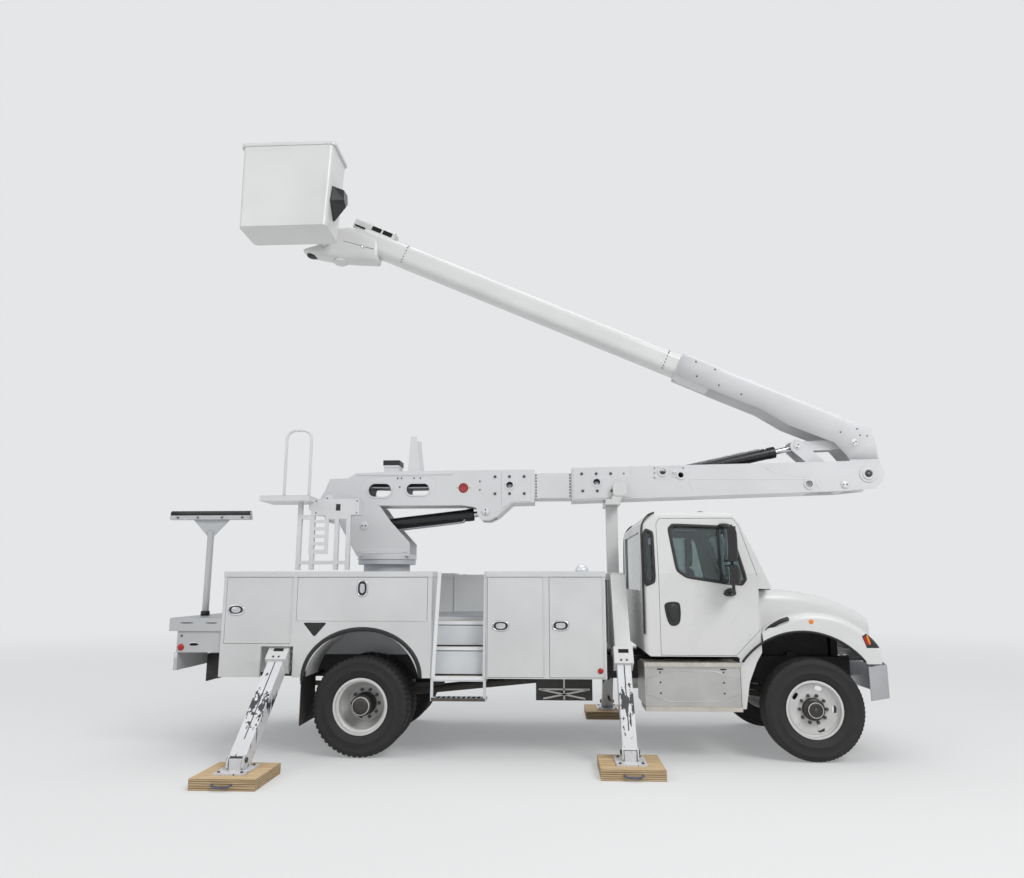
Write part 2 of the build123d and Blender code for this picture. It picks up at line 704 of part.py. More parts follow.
# Step box on the right and fuel tank on the left, hung from the rails below the doors
with BuildPart() as step_box:
    block(-1776, -766, -1150, -rail_outer_y, 545, 960)
    block(-1781, -761, -1165, -700, 960, 1000)
    block(-1781, -761, -1180, -800, 512, 545)
keep(step_box, "step_box")
with BuildPart() as fuel_tank:
    with BuildSketch(Plane.YZ.offset(at(-1771))):
        with Locations((790, 740)):
            RectangleRounded(640, 460, 120)
    extrude(amount=1000)
    block(-1771, -771, rail_outer_y, 520, 740, 960)
    block(-1731, -811, 800, 1150, 960, 990)
keep(fuel_tank, "fuel_tank")

# Stations count from the rear axle again
datum = 0

# Outriggers: sleeves fixed to the body and legs that slide out of them, slanting to their feet
tube_wall = 12
ear_y = 272
bracket_length = 190
bracket_grow = 36
rear_leg = {"x": rear_leg_x, "top": (-620, 1500), "foot": (-2180, pad_thick + 20), "width": 190,
            "sleeve": (-350, 830), "start": 640}
front_leg = {"x": front_leg_x, "top": (-640, 1900), "foot": (-1640, pad_thick + 20), "width": 170,
             "sleeve": (0, 1080), "start": 880}


def leg_line(leg):
    """The plane at the leg's upper reference point whose Z runs down the leg to its foot."""
    dy = leg["foot"][0] - leg["top"][0]
    dz = leg["foot"][1] - leg["top"][1]
    return Plane(origin=(at(leg["x"]), *leg["top"]), x_dir=(1, 0, 0), z_dir=(0, dy, dz))


def leg_bar(leg, start, end, width, mode=Mode.ADD):
    """Adds or cuts a square bar along a leg, between two distances from its reference point."""
    with BuildSketch(leg_line(leg).offset(start)) as section:
        Rectangle(width, width)
    extrude(section.sketch, amount=end - start, mode=mode)


for leg_name, leg in (("rear", rear_leg), ("front", front_leg)):
    reach = hypot(leg["foot"][0] - leg["top"][0], leg["foot"][1] - leg["top"][1])
    foot_y = leg["foot"][0]
    with BuildPart() as right_leg:
        leg_bar(leg, leg["start"], reach - 72, leg["width"] - 2 * tube_wall - 2 * running_gap)
        block(leg["x"] - 150, leg["x"] + 150, foot_y - 200, foot_y + 200, pad_thick + 0.3, pad_thick + 16)
        block(leg["x"] - 60, leg["x"] + 60, foot_y - 50, foot_y + 50, pad_thick + 10, pad_thick + 110)
    keep(right_leg, f"{leg_name}_leg_right")
    with BuildPart() as left_leg:
        mirror(right_leg.part, about=Plane.XZ)
    keep(left_leg, f"{leg_name}_leg_left")

post_half = 70
with BuildPart() as outrigger_frames:
    for leg in (rear_leg, front_leg):
        leg_bar(leg, *leg["sleeve"], leg["width"])
        leg_bar(leg, leg["sleeve"][1] - bracket_length, leg["sleeve"][1], leg["width"] + bracket_grow)
    block(rear_leg_x - 95, rear_leg_x + 95, -520, 0, deck_top, deck_top + 80)
    block(front_leg_x - post_half, front_leg_x + post_half, -720, 0, 1880, 1960)
    block(front_leg_x - post_half, front_leg_x + post_half, -rail_outer_y, 0, frame_top, frame_top + 90)
    for leg in (rear_leg, front_leg):
        leg_bar(leg, leg["sleeve"][0] + 12, leg["sleeve"][1] + 1, leg["width"] - 2 * tube_wall,
                mode=Mode.SUBTRACT)
    block(front_leg_x - post_half, front_leg_x + post_half, -75, 0, frame_top, 2800)
    plate([(front_leg_x - 90, 2790), (front_leg_x + 90, 2790), (front_leg_x + 90, 2860),
           (front_leg_x - 90, 2854)], -310, 0)
    plate([(front_leg_x - 60, 2800), (front_leg_x + 70, 2800), (front_leg_x + 150, 2930),
           (front_leg_x + 20, 2930)], -ear_y - 26, -ear_y)
    with BuildSketch(plane_y(-ear_y)):
        with Locations((at(front_leg_x + 88), 2982)):
            RectangleRounded(172, 170, 46)
    extrude(amount=36)
    mirror(about=Plane.XZ)
keep(outrigger_frames, "outrigger_frames")

with BuildPart() as outrigger_pads:
    for leg in (rear_leg, front_leg):
        block(leg["x"] - 310, leg["x"] + 310, leg["foot"][0] - 330, leg["foot"][0] + 330, 0, pad_thick)
    mirror(about=Plane.XZ)
keep(outrigger_pads, "outrigger_pads")

# Side compartments: folded sheet boxes; the rear pair is cut by the wheel arch
pack_inner = body_half - pack_depth
knuckle_radius = 7
compartment_doors = {
    "rear_door": (-1530, -790, 1190, 1905),
    "top_door": (-730, 720, 1440, 1905),
    "front_door_a": (step_front + 15, front_split - 33, 850, 1905),
    "front_door_b": (front_split + 32, body_front - 30, 850, 1905),
}


def door_cut(door_name):
    """Cuts a compartment door's opening in the right outer wall, close to it only along its hinge."""
    station_low, station_high, z_low, z_high = compartment_doors[door_name]
    front_gap = door_gap
    bottom_gap = door_gap
    if door_name == "top_door":
        bottom_gap = running_gap
    else:
        front_gap = running_gap
    block(station_low - door_gap, station_high + front_gap, -body_half - 20, -body_half + door_thick + 10,
          z_low - bottom_gap, z_high + door_gap, mode=Mode.SUBTRACT)


def hinge_bar(door_name, radius, mode=Mode.ADD):
    """Adds or cuts the round knuckle of a right compartment door's hinge, on the joint's axis."""
    station_low, station_high, z_low, z_high = compartment_doors[door_name]
    if door_name == "top_door":
        with Locations(Location((at((station_low + station_high) / 2), -body_half, z_low), (0, 90, 0))):
            Cylinder(radius, station_high - station_low - 8, mode=mode)
    else:
        rod_z(station_high, -body_half, radius, z_low + 4, z_high - 4, mode=mode)


def arch_face(plane, spread):
    """The outline of the rear wheel opening, widened by spread."""
    with BuildSketch(plane) as made:
        with BuildLine():
            Polyline((at(640 + spread), 700), (at(640 + spread), body_bottom))
            ThreePointArc((at(640 + spread), body_bottom), (at(10), 1340 + spread),
                          (at(-620 - spread), body_bottom))
            Polyline((at(-620 - spread), body_bottom), (at(-620 - spread), 700), (at(640 + spread), 700))
        make_face()
    return made.sketch


lip = (body_top - rim_height, body_top)
skin = door_thick + 10
with BuildPart() as side_packs:
    block(body_rear, step_rear, -body_half, -pack_inner, body_bottom, lip[0])
    block(body_rear + pack_wall, step_rear - pack_wall, -body_half + skin, -pack_inner - pack_wall,
              body_bottom - 1, lip[0] - pack_wall, mode=Mode.SUBTRACT)
    block(body_rear - 5, step_rear + 5, -body_half - 6, -pack_inner + 6, *lip)
    block(body_rear + pack_wall, -750, -body_half + skin, -pack_inner - pack_wall, 1166, 1186)
    block(-770, -750, -body_half + skin, -pack_inner - pack_wall, 900, lip[0] - pack_wall)
    block(-750, step_rear - pack_wall, -body_half + skin, -pack_inner - pack_wall, 1400, 1420)
    extrude(arch_face(plane_y(-pack_inner - pack_wall), 20), amount=pack_depth - pack_wall - skin)
    block(-700, 720, -body_half, -pack_inner, 600, body_bottom, mode=Mode.SUBTRACT)
    extrude(arch_face(plane_y(-pack_inner + 10), 0), amount=pack_depth + 40, mode=Mode.SUBTRACT)
    block(-1110, -750, -body_half - 10, -pack_inner + 10, body_bottom - 5, 1160, mode=Mode.SUBTRACT)
    for door_name in ("rear_door", "top_door"):
        door_cut(door_name)
        hinge_bar(door_name, knuckle_radius + running_gap, mode=Mode.SUBTRACT)
    leg_bar(rear_leg, rear_leg["sleeve"][0] - 20, rear_leg["sleeve"][1] + 200, rear_leg["width"] + 2 * clearance,
            mode=Mode.SUBTRACT)
    block(step_front, body_front, -body_half, -pack_inner, body_bottom, lip[0])
    block(step_front + pack_wall, body_front - pack_wall, -body_half + skin, -pack_inner - pack_wall,
              body_bottom + pack_wall, lip[0] - pack_wall, mode=Mode.SUBTRACT)
    block(step_front - 5, body_front + 5, -body_half - 6, -pack_inner + 6, *lip)
    block(front_split - 10, front_split + 10, -body_half + skin, -pack_inner - pack_wall,
          body_bottom + pack_wall, lip[0] - pack_wall)
    for door_name in ("front_door_a", "front_door_b"):
        door_cut(door_name)
        hinge_bar(door_name, knuckle_radius + running_gap, mode=Mode.SUBTRACT)
    mirror(about=Plane.XZ)
keep(side_packs, "side_packs")

for door_name, (station_low, station_high, z_low, z_high) in compartment_doors.items():
    with BuildPart() as right_door:
        block(station_low, station_high, -body_half, -body_half + door_thick, z_low, z_high)
        block(station_low + 25, station_high - 25, -body_half + 4, -body_half + door_thick + 1,
                  z_low + 25, z_high - 25, mode=Mode.SUBTRACT)
        block(station_low + 25, station_high - 25, -body_half + door_thick - 3, -body_half + door_thick,
                  z_low + 25, z_high - 25)
        hinge_bar(door_name, knuckle_radius)
    keep(right_door, door_name + "_right")
    with BuildPart() as left_door:
        mirror(right_door.part, about=Plane.XZ)
    keep(left_door, door_name + "_left")

# Deck: treadplate on two sills over the rails, with the access steps let in on both sides
step_edge = -body_half + 20
grip_step_z = 595
treads = ((850, 0), (1150, 90), (1420, 180))
pedestal_radius = 290
with BuildPart() as deck:
    block(body_rear, body_front, -pack_inner, 0, deck_top - deck_thick, deck_top)
    block(body_rear, body_front, -435, -345, frame_top, deck_top - deck_thick)
    block(body_front - 30, body_front, -pack_inner + 6, 0, deck_top, body_top)
    for tread_z, inset in treads:
        block(step_rear, step_front, step_edge + inset, -pack_inner, tread_z - 25, tread_z)
    block(step_rear, step_front, -pack_inner, -pack_inner + 20, body_bottom, deck_top)
    block(step_rear, step_front, step_edge, step_edge + 20, 800, 850)
    for step_side in (step_rear, step_front - 12):
        block(step_side, step_side + 12, step_edge, -pack_inner, 800, 1445)
    block(step_rear, step_front, step_edge, step_edge + 200, grip_step_z, grip_step_z + 25)
    for step_side in (step_rear, step_front - 30):
        block(step_side, step_side + 30, step_edge, step_edge + 12, grip_step_z, 850)
    leg_bar(rear_leg, rear_leg["sleeve"][0] - 20, rear_leg["sleeve"][1], rear_leg["width"] + 2 * clearance,
            mode=Mode.SUBTRACT)
    mirror(about=Plane.XZ)
    block(-380, 380, -380, 380, deck_top, deck_top + 30)
    rod_z(0, 0, pedestal_radius, deck_top, turret_base - 60)
    rod_z(0, 0, pedestal_radius + 70, turret_base - 60, turret_base)
keep(deck, "deck")

# Tail shelf with its lower box, and the T-shaped rest that the folded bucket lies over
rest_y = -600
shelf_rear = -2160
with BuildPart() as tail_shelf:
    block(shelf_rear, body_rear, -body_half, body_half, 1320, deck_top)
    block(shelf_rear + 10, body_rear, -body_half + 10, body_half - 10, 1319, deck_top - 8, mode=Mode.SUBTRACT)
    block(-2070, body_rear, -body_half + 20, body_half - 20, 1090, 1320)
    for side in (-1, 1):
        lamp_edges = sorted((side * (body_half - 20), side * (rail_outer_y + 8)))
        block(-2090, -2050, *lamp_edges, 900, 1090)
    rod_z(-2045, rest_y, 38, deck_top - 5, 2465)
    plate([(-2083, 2400), (-2007, 2400), (-1820, 2600), (-2270, 2600)], rest_y - 6, rest_y + 6)
    block(-rear_overhang, -1560, rest_y - 45, rest_y + 45, 2600, 2650)
    with BuildSketch(Plane.YZ.offset(at(-rear_overhang))):
        with Locations((rest_y, 2672)):
            Circle(32)
    extrude(amount=rear_overhang - 1560)
keep(tail_shelf, "tail_shelf")

# Turret: base ring, two side plates up to the lower boom's pivot, and the boom pins
turret_inner = lower_half + 8
turret_plate = 30
side_outline = [(-330, turret_base + 40), (330, turret_base + 40), (330, 2330), (80, 2600), (-60, 2790),
                (-230, 2860), (-640, 2990), (-760, 2990), (-820, 2900), (-810, 2680), (-560, 2560)]
with BuildPart() as turret:
    rod_z(0, 0, pedestal_radius + 80, turret_base + running_gap, turret_base + 60)
    for side in (-1, 1):
        inner, outer = sorted((side * turret_inner, side * (turret_inner + turret_plate)))
        plate(side_outline, inner, outer)
        rod_y(pivot, 45, *sorted((side * (lower_half - 30), side * (turret_inner + 5))))
        rod_y(pivot, 88, *sorted((side * (turret_inner + turret_plate), side * (turret_inner + turret_plate + 14))))
    rod_y(lift_base, 35, -turret_inner - 5, turret_inner + 5)
    block(-760, -600, -turret_inner - 5, turret_inner + 5, 2600, 2660)
keep(turret, "turret")

# Access platform beside the turret: grating, handrail and the ladder frame that carries it
platform_y = (-950, -480)
rail_tube = 17
handrail = ((-1065, 2840), (-1065, 3642), (-765, 3642), (-765, 2840))
cover_box = (-740, -190, -760, -560, 2640, 2830)
ladder = (-780, -550, 2180, 2640)
with BuildPart() as access_platform:
    block(-1330, -740, *platform_y, 2790, 2850)
    block(-1310, -760, platform_y[0] + 20, platform_y[1] - 20, 2820, 2851, mode=Mode.SUBTRACT)
    for bar in range(9):
        block(-1330, -740, platform_y[0] + 45 + bar * 46, platform_y[0] + 57 + bar * 46, 2818, 2850)
    for post in (-930, -770, -480, -340):
        block(post, post + 50, -760, -710, 1995, 2790 if post < -700 else 2640)
    block(-930, -290, -760, -710, 2590, 2640)
    block(-930, -290, -760, -710, 2060, 2100)
    block(*cover_box)
    block(-800, -740, -760, -turret_inner - turret_plate, 2700, 2790)
    block(*ladder[:2], -760, -754, *ladder[2:])
    for rung in range(5):
        rung_z = ladder[2] + 50 + rung * 88
        block(ladder[0] + 55, ladder[1] - 45, -800, -700, rung_z, rung_z + 50, mode=Mode.SUBTRACT)
    with BuildLine(plane_y(-885)) as rail_line:
        FilletPolyline(*points(handrail), radius=110)
    with BuildSketch(Plane(origin=(at(handrail[0][0]), -885, handrail[0][1]), z_dir=(0, 0, 1))):
        Circle(rail_tube)
    sweep(path=rail_line.line)
keep(access_platform, "access_platform")

# Lower boom: a box beam in two steel lengths joined by an insulating insert
rear_half = [(-780, 2880), (-740, 2800), (980, 2800), (1150, 2770), (1170, 2680), (1220, 2612), (1320, 2612),
             (1420, 2660), (1600, 2822), (1880, 2830), (1880, 3245), (300, 3238), (-380, 3215), (-490, 3150),
             (-720, 3140), (-790, 2960)]
front_half = [(2350, 2848), (5700, 2950), (6060, 2985), (6150, 3080), (front_reach, 3180), (6130, 3290), (6020, 3325),
              (2350, 3262)]


def beam(profile, slots, holes, collar):
    """A hollow beam of the given outline, with slots and round holes in raised rings, and a collar plate."""
    with BuildPart() as made:
        with BuildSketch(plane_y(0)):
            with BuildLine():
                Polyline(*points(profile), close=True)
            make_face()
        extrude(amount=lower_half, both=True)
        plate(collar, -lower_half - ring_proud, lower_half + ring_proud)
        for station, height, length, width in slots:
            with BuildSketch(plane_y(0)):
                with Locations((at(station), height)):
                    SlotOverall(length + 2 * ring_width, width + 2 * ring_width)
            extrude(amount=lower_half + ring_proud, both=True)
        for hole in holes:
            rod_y(hole[:2], hole[2] + ring_width, -lower_half - 2 * ring_proud, lower_half + 2 * ring_proud)
        with BuildSketch(plane_y(0)):
            with BuildLine():
                Polyline(*points(profile), close=True)
            make_face()
            offset(amount=-boom_plate, kind=Kind.INTERSECTION, mode=Mode.REPLACE)
        extrude(amount=lower_half - boom_plate, both=True, mode=Mode.SUBTRACT)
        for station, height, length, width in slots:
            with BuildSketch(plane_y(0)):
                with Locations((at(station), height)):
                    SlotOverall(length, width)
            extrude(amount=lower_half + 50, both=True, mode=Mode.SUBTRACT)
        for hole in holes:
            rod_y(hole[:2], hole[2], -lower_half - 50, lower_half + 50, mode=Mode.SUBTRACT)
    return made.part


ring_proud = 6
ring_width = 22
rear_slots = ((-75, 2995, 290, 165), (410, 3005, 290, 140))
rear_holes = ((1570, 3050, 42),)
front_holes = ((2660, 3080, 42), (3480, 3206, 40), (3702, 3162, 34), (5260, 3040, 42))
rear_collar = [(1470, 2745), (1600, 2838), (1830, 2843), (1830, 3232), (1470, 3230)]
front_collar = [(2366, 2866), (3080, 2888), (3080, 3262), (2366, 3250)]
rear_beam = beam(rear_half, rear_slots, rear_holes, rear_collar)
front_beam = beam(front_half, (), front_holes, front_collar)
pin_cap = 52
rest_pad = (-50, 140)
guide_y = 168
guide_outline = [(270, 3225), (430, 3225), (395, 3480), (372, 3690), (300, 3690), (285, 3480)]
insert_half = lower_half - boom_plate
insert_z = (2884, 3200)
with BuildPart() as lower_boom:
    add(rear_beam)
    block(1800, 1900, -insert_half, insert_half, *insert_z, mode=Mode.SUBTRACT)
    rod_y(pivot, 46, -lower_half - 20, lower_half + 20, mode=Mode.SUBTRACT)
    block(-420, 1180, -90, 90, 2700, 2830, mode=Mode.SUBTRACT)
    block(1140, 1400, -90, 90, 2600, 2840, mode=Mode.SUBTRACT)
    add(front_beam)
    block(2300, 2450, -insert_half, insert_half, *insert_z, mode=Mode.SUBTRACT)
    block(3480, 5400, -140, 140, 3200, 3400, mode=Mode.SUBTRACT)
    block(5300, 6300, -lower_half + boom_plate, lower_half - boom_plate, 2800, 3400, mode=Mode.SUBTRACT)
    for pin in (lever_pin, elbow_base):
        rod_y(pin, 32, -lower_half + 2, lower_half - 2)
    for side in (-1, 1):
        rod_y(elbow, 40, *sorted((side * 148, side * (lower_half - 2))))
    for side in (-1, 1):
        rod_y(lift_eye, 34, *sorted((side * (eye_half + running_gap), side * (lower_half - 2))))
        for pin in (lift_eye, lever_pin, elbow_base):
            rod_y(pin, pin_cap, *sorted((side * (lower_half - 2), side * (lower_half + ring_proud))))
        rod_y(elbow, 2 * pin_cap, *sorted((side * (lower_half - 2), side * (lower_half + 2 * ring_proud))))
        plate(guide_outline, *sorted((side * guide_y, side * (guide_y + 12))))
    block(*rest_pad, -120, 120, 3225, 3300)
    block(rest_pad[0] - 5, rest_pad[1] + 5, -130, 130, 3300, 3388)
    block(285, 395, -guide_y - 6, guide_y + 6, 3225, 3262)
keep(lower_boom, "lower_boom")
with BuildPart() as boom_insert:
    block(1840, 2400, -insert_half, insert_half, *insert_z)
keep(boom_insert, "boom_insert")


def cylinder_parts(base, eye, barrel_length, barrel_radius, rod_radius, piston_at, base_pin, eye_pin):
    """Barrel and rod of a hydraulic ram between two pins, closed to its length in the photograph."""
    reach = hypot(eye[0] - base[0], eye[1] - base[1])
    direction = ((eye[0] - base[0]) / reach, 0, (eye[1] - base[1]) / reach)
    line = Plane(origin=(at(base[0]), 0, base[1]), z_dir=direction)
    bore = barrel_radius - 14
    with BuildPart() as barrel:
        with BuildSketch(line.offset(base_pin + 20)):
            Circle(barrel_radius)
        extrude(amount=barrel_length - base_pin - 20)
        rod_y(base, base_pin + 26, -48, 48)
        with BuildSketch(line):
            Rectangle(90, 90)
        extrude(amount=base_pin + 30)
        with BuildSketch(line.offset(base_pin + 60)):
            Circle(bore)
        extrude(amount=barrel_length - base_pin - 90, mode=Mode.SUBTRACT)
        with BuildSketch(line.offset(barrel_length - 40)):
            Circle(rod_radius + running_gap)
        extrude(amount=50, mode=Mode.SUBTRACT)
        rod_y(base, base_pin + running_gap, -60, 60, mode=Mode.SUBTRACT)
    with BuildPart() as rod:
        with BuildSketch(line.offset(piston_at)):
            Circle(rod_radius)
        extrude(amount=reach - piston_at - eye_pin - 10)
        with BuildSketch(line.offset(piston_at)):
            Circle(bore - running_gap)
        extrude(amount=50)
        rod_y(eye, eye_pin + 26, -eye_half, eye_half)
        rod_y(eye, eye_pin + 6, -60, 60, mode=Mode.SUBTRACT)
    return barrel, rod


lift_barrel, lift_rod = cylinder_parts(lift_base, lift_eye, 1360, 76, 38, 160, 35, 34)
keep(lift_barrel, "lift_barrel")
keep(lift_rod, "lift_rod")
elbow_barrel, elbow_rod = cylinder_parts(elbow_base, link_pin, 1340, 70, 36, 258, 32, 30)
keep(elbow_barrel, "elbow_barrel")
keep(elbow_rod, "elbow_rod")


lever_cheek = (104, 130)
link_cheek = (60, 94)
with BuildPart() as elbow_lever:
    strap(lever_pin, link_pin, 80, 85, *lever_cheek)
    rod_y(link_pin, 30, link_cheek[1] + 4, lever_cheek[1])
    mirror(about=Plane.XZ)
    rod_y(lever_pin, 80, -lever_cheek[1], lever_cheek[1])
    rod_y(lever_pin, 32 + running_gap, -140, 140, mode=Mode.SUBTRACT)
keep(elbow_lever, "elbow_lever")
with BuildPart() as elbow_link:
    strap(link_pin, link_far, 62, 62, *link_cheek)
    mirror(about=Plane.XZ)
    rod_y(link_far, 62, -link_cheek[1], link_cheek[1])
    rod_y(link_far, 30 + running_gap, -120, 120, mode=Mode.SUBTRACT)
    rod_y(link_pin, 30, -120, 120, mode=Mode.SUBTRACT)
keep(elbow_link, "elbow_link")

# Upper boom: steel base that folds over the lower boom, a fibreglass tube and the tip casting
slope = radians(fold_slope)
base_outline = [(6110, 3720), (6150, 3350), (6130, 3120), (6070, 3040), (5930, 3020), (5860, 3100), (5780, 3360),
                (5620, 3560), (5070, 3790), (4760, 3990), (4100, 4280), (3690, 4470), (3820, 4760), (4880, 4290),
                (5570, 3980)]
socket_collar = [(3692, 4462), (3829, 4765), (3875, 4745), (3738, 4442)]
with BuildPart() as upper_boom_base:
    with BuildSketch(plane_y(0)):
        with BuildLine():
            Polyline(*points(base_outline), close=True)
        make_face()
    extrude(amount=lower_half - boom_plate - 8, both=True)
    with BuildSketch(plane_y(0)):
        with BuildLine():
            Polyline(*points([(6092, 3710), (6130, 3350), (6300, 3000), (5800, 2900), (5720, 3360), (5600, 3540),
                              (5050, 3770), (4740, 3960), (4200, 4210), (4210, 4540), (4870, 4268), (5560, 3958)]),
                     close=True)
        make_face()
    extrude(amount=lower_half - boom_plate - 30, both=True, mode=Mode.SUBTRACT)
    with BuildSketch(plane_y(0)):
        with BuildLine():
            Polyline(*points([(5900, 2900), (6300, 2900), (6300, 3340), (6145, 3340), (5700, 3340)]), close=True)
        make_face()
    extrude(amount=lower_half - boom_plate - 30, both=True, mode=Mode.SUBTRACT)
    rod_y(elbow, 40 + running_gap, -300, 300, mode=Mode.SUBTRACT)
    rod_y(link_far, 30, -lower_half + boom_plate + 12, lower_half - boom_plate - 12)
    for shift in (0, 330):
        along = (shift * cos(slope), -shift * sin(slope))
        plate([(x + along[0], z + along[1]) for x, z in socket_collar], -lower_half + boom_plate + 2,
              lower_half - boom_plate - 2)
keep(upper_boom_base, "upper_boom_base")

tube_from = (4100, 4455)
tube_to = (-560, 6535)
tube_reach = hypot(tube_to[0] - tube_from[0], tube_to[1] - tube_from[1])
tube_dir = ((tube_to[0] - tube_from[0]) / tube_reach, 0, (tube_to[1] - tube_from[1]) / tube_reach)
tube_line = Plane(origin=(at(tube_from[0]), 0, tube_from[1]), x_dir=(0, 1, 0), z_dir=tube_dir)
with BuildPart() as upper_boom_tube:
    with BuildSketch(tube_line):
        RectangleRounded(2 * upper_half - 10, 2 * upper_half - 10, 90)
        RectangleRounded(2 * upper_half - 42, 2 * upper_half - 42, 74, mode=Mode.SUBTRACT)
    extrude(amount=tube_reach)
    add(upper_boom_base.part, mode=Mode.SUBTRACT)
keep(upper_boom_tube, "upper_boom_tube")

tip_outline = [(-270, 6430), (-230, 6050), (-950, 6160), (-1280, 6300), (-1270, 6340), (-1020, 6345), (-640, 6760),
               (-560, 6740)]
with BuildPart() as boom_tip:
    plate(tip_outline, -200, 200)
    fillet([edge for edge in boom_tip.edges() if abs(edge.tangent_at(0.5).Y) < 0.1], radius=24)
    rod_y(tip_pin, 60, bucket_near + boss_gap + running_gap, -190)
    add(upper_boom_tube.part, mode=Mode.SUBTRACT)
keep(boom_tip, "boom_tip")

# Bucket: a moulded tub with a rolled lip, hung beside the boom tip
bucket_mid_y = bucket_near - bucket_depth / 2


def tub(inset, floor_z, top_z):
    """The tapering closed form of the bucket, drawn in by the given inset."""
    with BuildPart() as made:
        with BuildSketch(Plane.XY.offset(floor_z)):
            with Locations((at(bucket_rear + bucket_floor_length / 2), bucket_mid_y)):
                RectangleRounded(bucket_floor_length - 2 * inset, bucket_depth - 40 - 2 * inset, 60 - inset)
        with BuildSketch(Plane.XY.offset(top_z)):
            with Locations((at(bucket_rear + bucket_mouth_length / 2), bucket_mid_y)):
                RectangleRounded(bucket_mouth_length - 2 * inset, bucket_depth - 2 * inset, 60 - inset)
        loft()
    return made.part


tub_outer = tub(0, bucket_bottom, bucket_top - 40)
tub_inner = tub(bucket_wall, bucket_bottom + bucket_wall, bucket_top + 1)
with BuildPart() as bucket:
    add(tub_outer)
    with BuildSketch(Plane.XY.offset(bucket_top - 40)):
        with Locations((at(bucket_rear + bucket_mouth_length / 2), bucket_mid_y)):
            RectangleRounded(bucket_mouth_length + 4 * bucket_lip, bucket_depth + 20, 70)
    extrude(amount=40)
    add(tub_inner, mode=Mode.SUBTRACT)
    rod_y(tip_pin, 80, bucket_near - bucket_wall - 12, bucket_near + boss_gap)
keep(bucket, "bucket")
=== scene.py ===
import bpy
import math
import numpy as np
from mathutils import Matrix, Vector


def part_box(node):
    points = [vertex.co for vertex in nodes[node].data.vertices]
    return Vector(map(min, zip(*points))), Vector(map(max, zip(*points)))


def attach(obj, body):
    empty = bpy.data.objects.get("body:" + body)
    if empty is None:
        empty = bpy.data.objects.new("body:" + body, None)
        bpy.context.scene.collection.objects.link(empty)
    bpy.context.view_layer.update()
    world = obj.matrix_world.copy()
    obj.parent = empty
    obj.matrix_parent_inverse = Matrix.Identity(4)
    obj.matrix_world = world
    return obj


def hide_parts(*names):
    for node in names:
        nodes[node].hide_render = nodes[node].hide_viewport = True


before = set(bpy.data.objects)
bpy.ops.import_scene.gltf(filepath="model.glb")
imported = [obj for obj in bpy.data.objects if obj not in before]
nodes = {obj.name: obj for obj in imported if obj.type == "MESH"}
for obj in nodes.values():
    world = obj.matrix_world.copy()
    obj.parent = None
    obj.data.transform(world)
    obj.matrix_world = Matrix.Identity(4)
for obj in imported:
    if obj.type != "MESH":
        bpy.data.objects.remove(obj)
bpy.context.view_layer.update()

# The studio: a plain pale floor under the tyres and pads, soft lamps above and ahead of the near side,
# and a white surround. The camera stands where the photograph was taken, ten metres off the right side.
scene = bpy.context.scene
scene.view_settings.view_transform = "Standard"
PITCH = math.radians(10.62)
YAW = math.radians(3.02)
SENSOR_WIDTH = 36
FOCAL_SHARE = 760 / 1024
FLOOR_REACH = 60
PALE = (0.78, 0.79, 0.80, 1)
ahead = Vector((-math.sin(YAW) * math.cos(PITCH), math.cos(YAW) * math.cos(PITCH), math.sin(PITCH)))
across = Vector((math.cos(YAW), math.sin(YAW), 0))
above = across.cross(ahead)
camera_data = bpy.data.cameras.new("camera")
camera_data.sensor_width = SENSOR_WIDTH
camera_data.lens = SENSOR_WIDTH * FOCAL_SHARE
camera = bpy.data.objects.new("camera", camera_data)
scene.collection.objects.link(camera)
camera.matrix_world = Matrix((
    (across.x, above.x, -ahead.x, 0.29),
    (across.y, above.y, -ahead.y, -9.69),
    (across.z, above.z, -ahead.z, 1.86),
    (0, 0, 0, 1)))
scene.camera = camera


def feed(tree, target, sockets):
    """Fills a node's inputs: an output given as the value is linked to it, and a plain value is set on it."""
    for socket, value in sockets.items():
        if isinstance(value, bpy.types.NodeSocket):
            tree.links.new(value, target.inputs[socket])
        else:
            target.inputs[socket].default_value = value


def node(tree, kind, sockets, **settings):
    """Adds a shader node, sets its own properties, fills its inputs and returns its outputs."""
    made = tree.nodes.new("ShaderNode" + kind)
    for key, value in settings.items():
        setattr(made, key, value)
    feed(tree, made, sockets)
    return made.outputs


def node_material(name, base, metallic=0.0, roughness=0.5):
    """A new material with its Principled shader's plain values set, and its node tree and shader."""
    material = bpy.data.materials.new(name)
    material.use_nodes = True
    tree = material.node_tree
    shader = tree.nodes["Principled BSDF"]
    feed(tree, shader, {"Base Color": (*base, 1), "Metallic": metallic, "Roughness": roughness})
    return material, tree, shader


def combined(tree, operation, first, second=0.5):
    """The result of a Math node on one or two inputs."""
    return node(tree, "Math", {0: first, 1: second}, operation=operation)[0]


def seen_rays(tree):
    """One for rays that come from the camera, a reflection or glass, and nought for the light itself."""
    rays = node(tree, "LightPath", {})
    first = combined(tree, "MAXIMUM", rays["Is Camera Ray"], rays["Is Glossy Ray"])
    return combined(tree, "MAXIMUM", first, rays["Is Transmission Ray"])


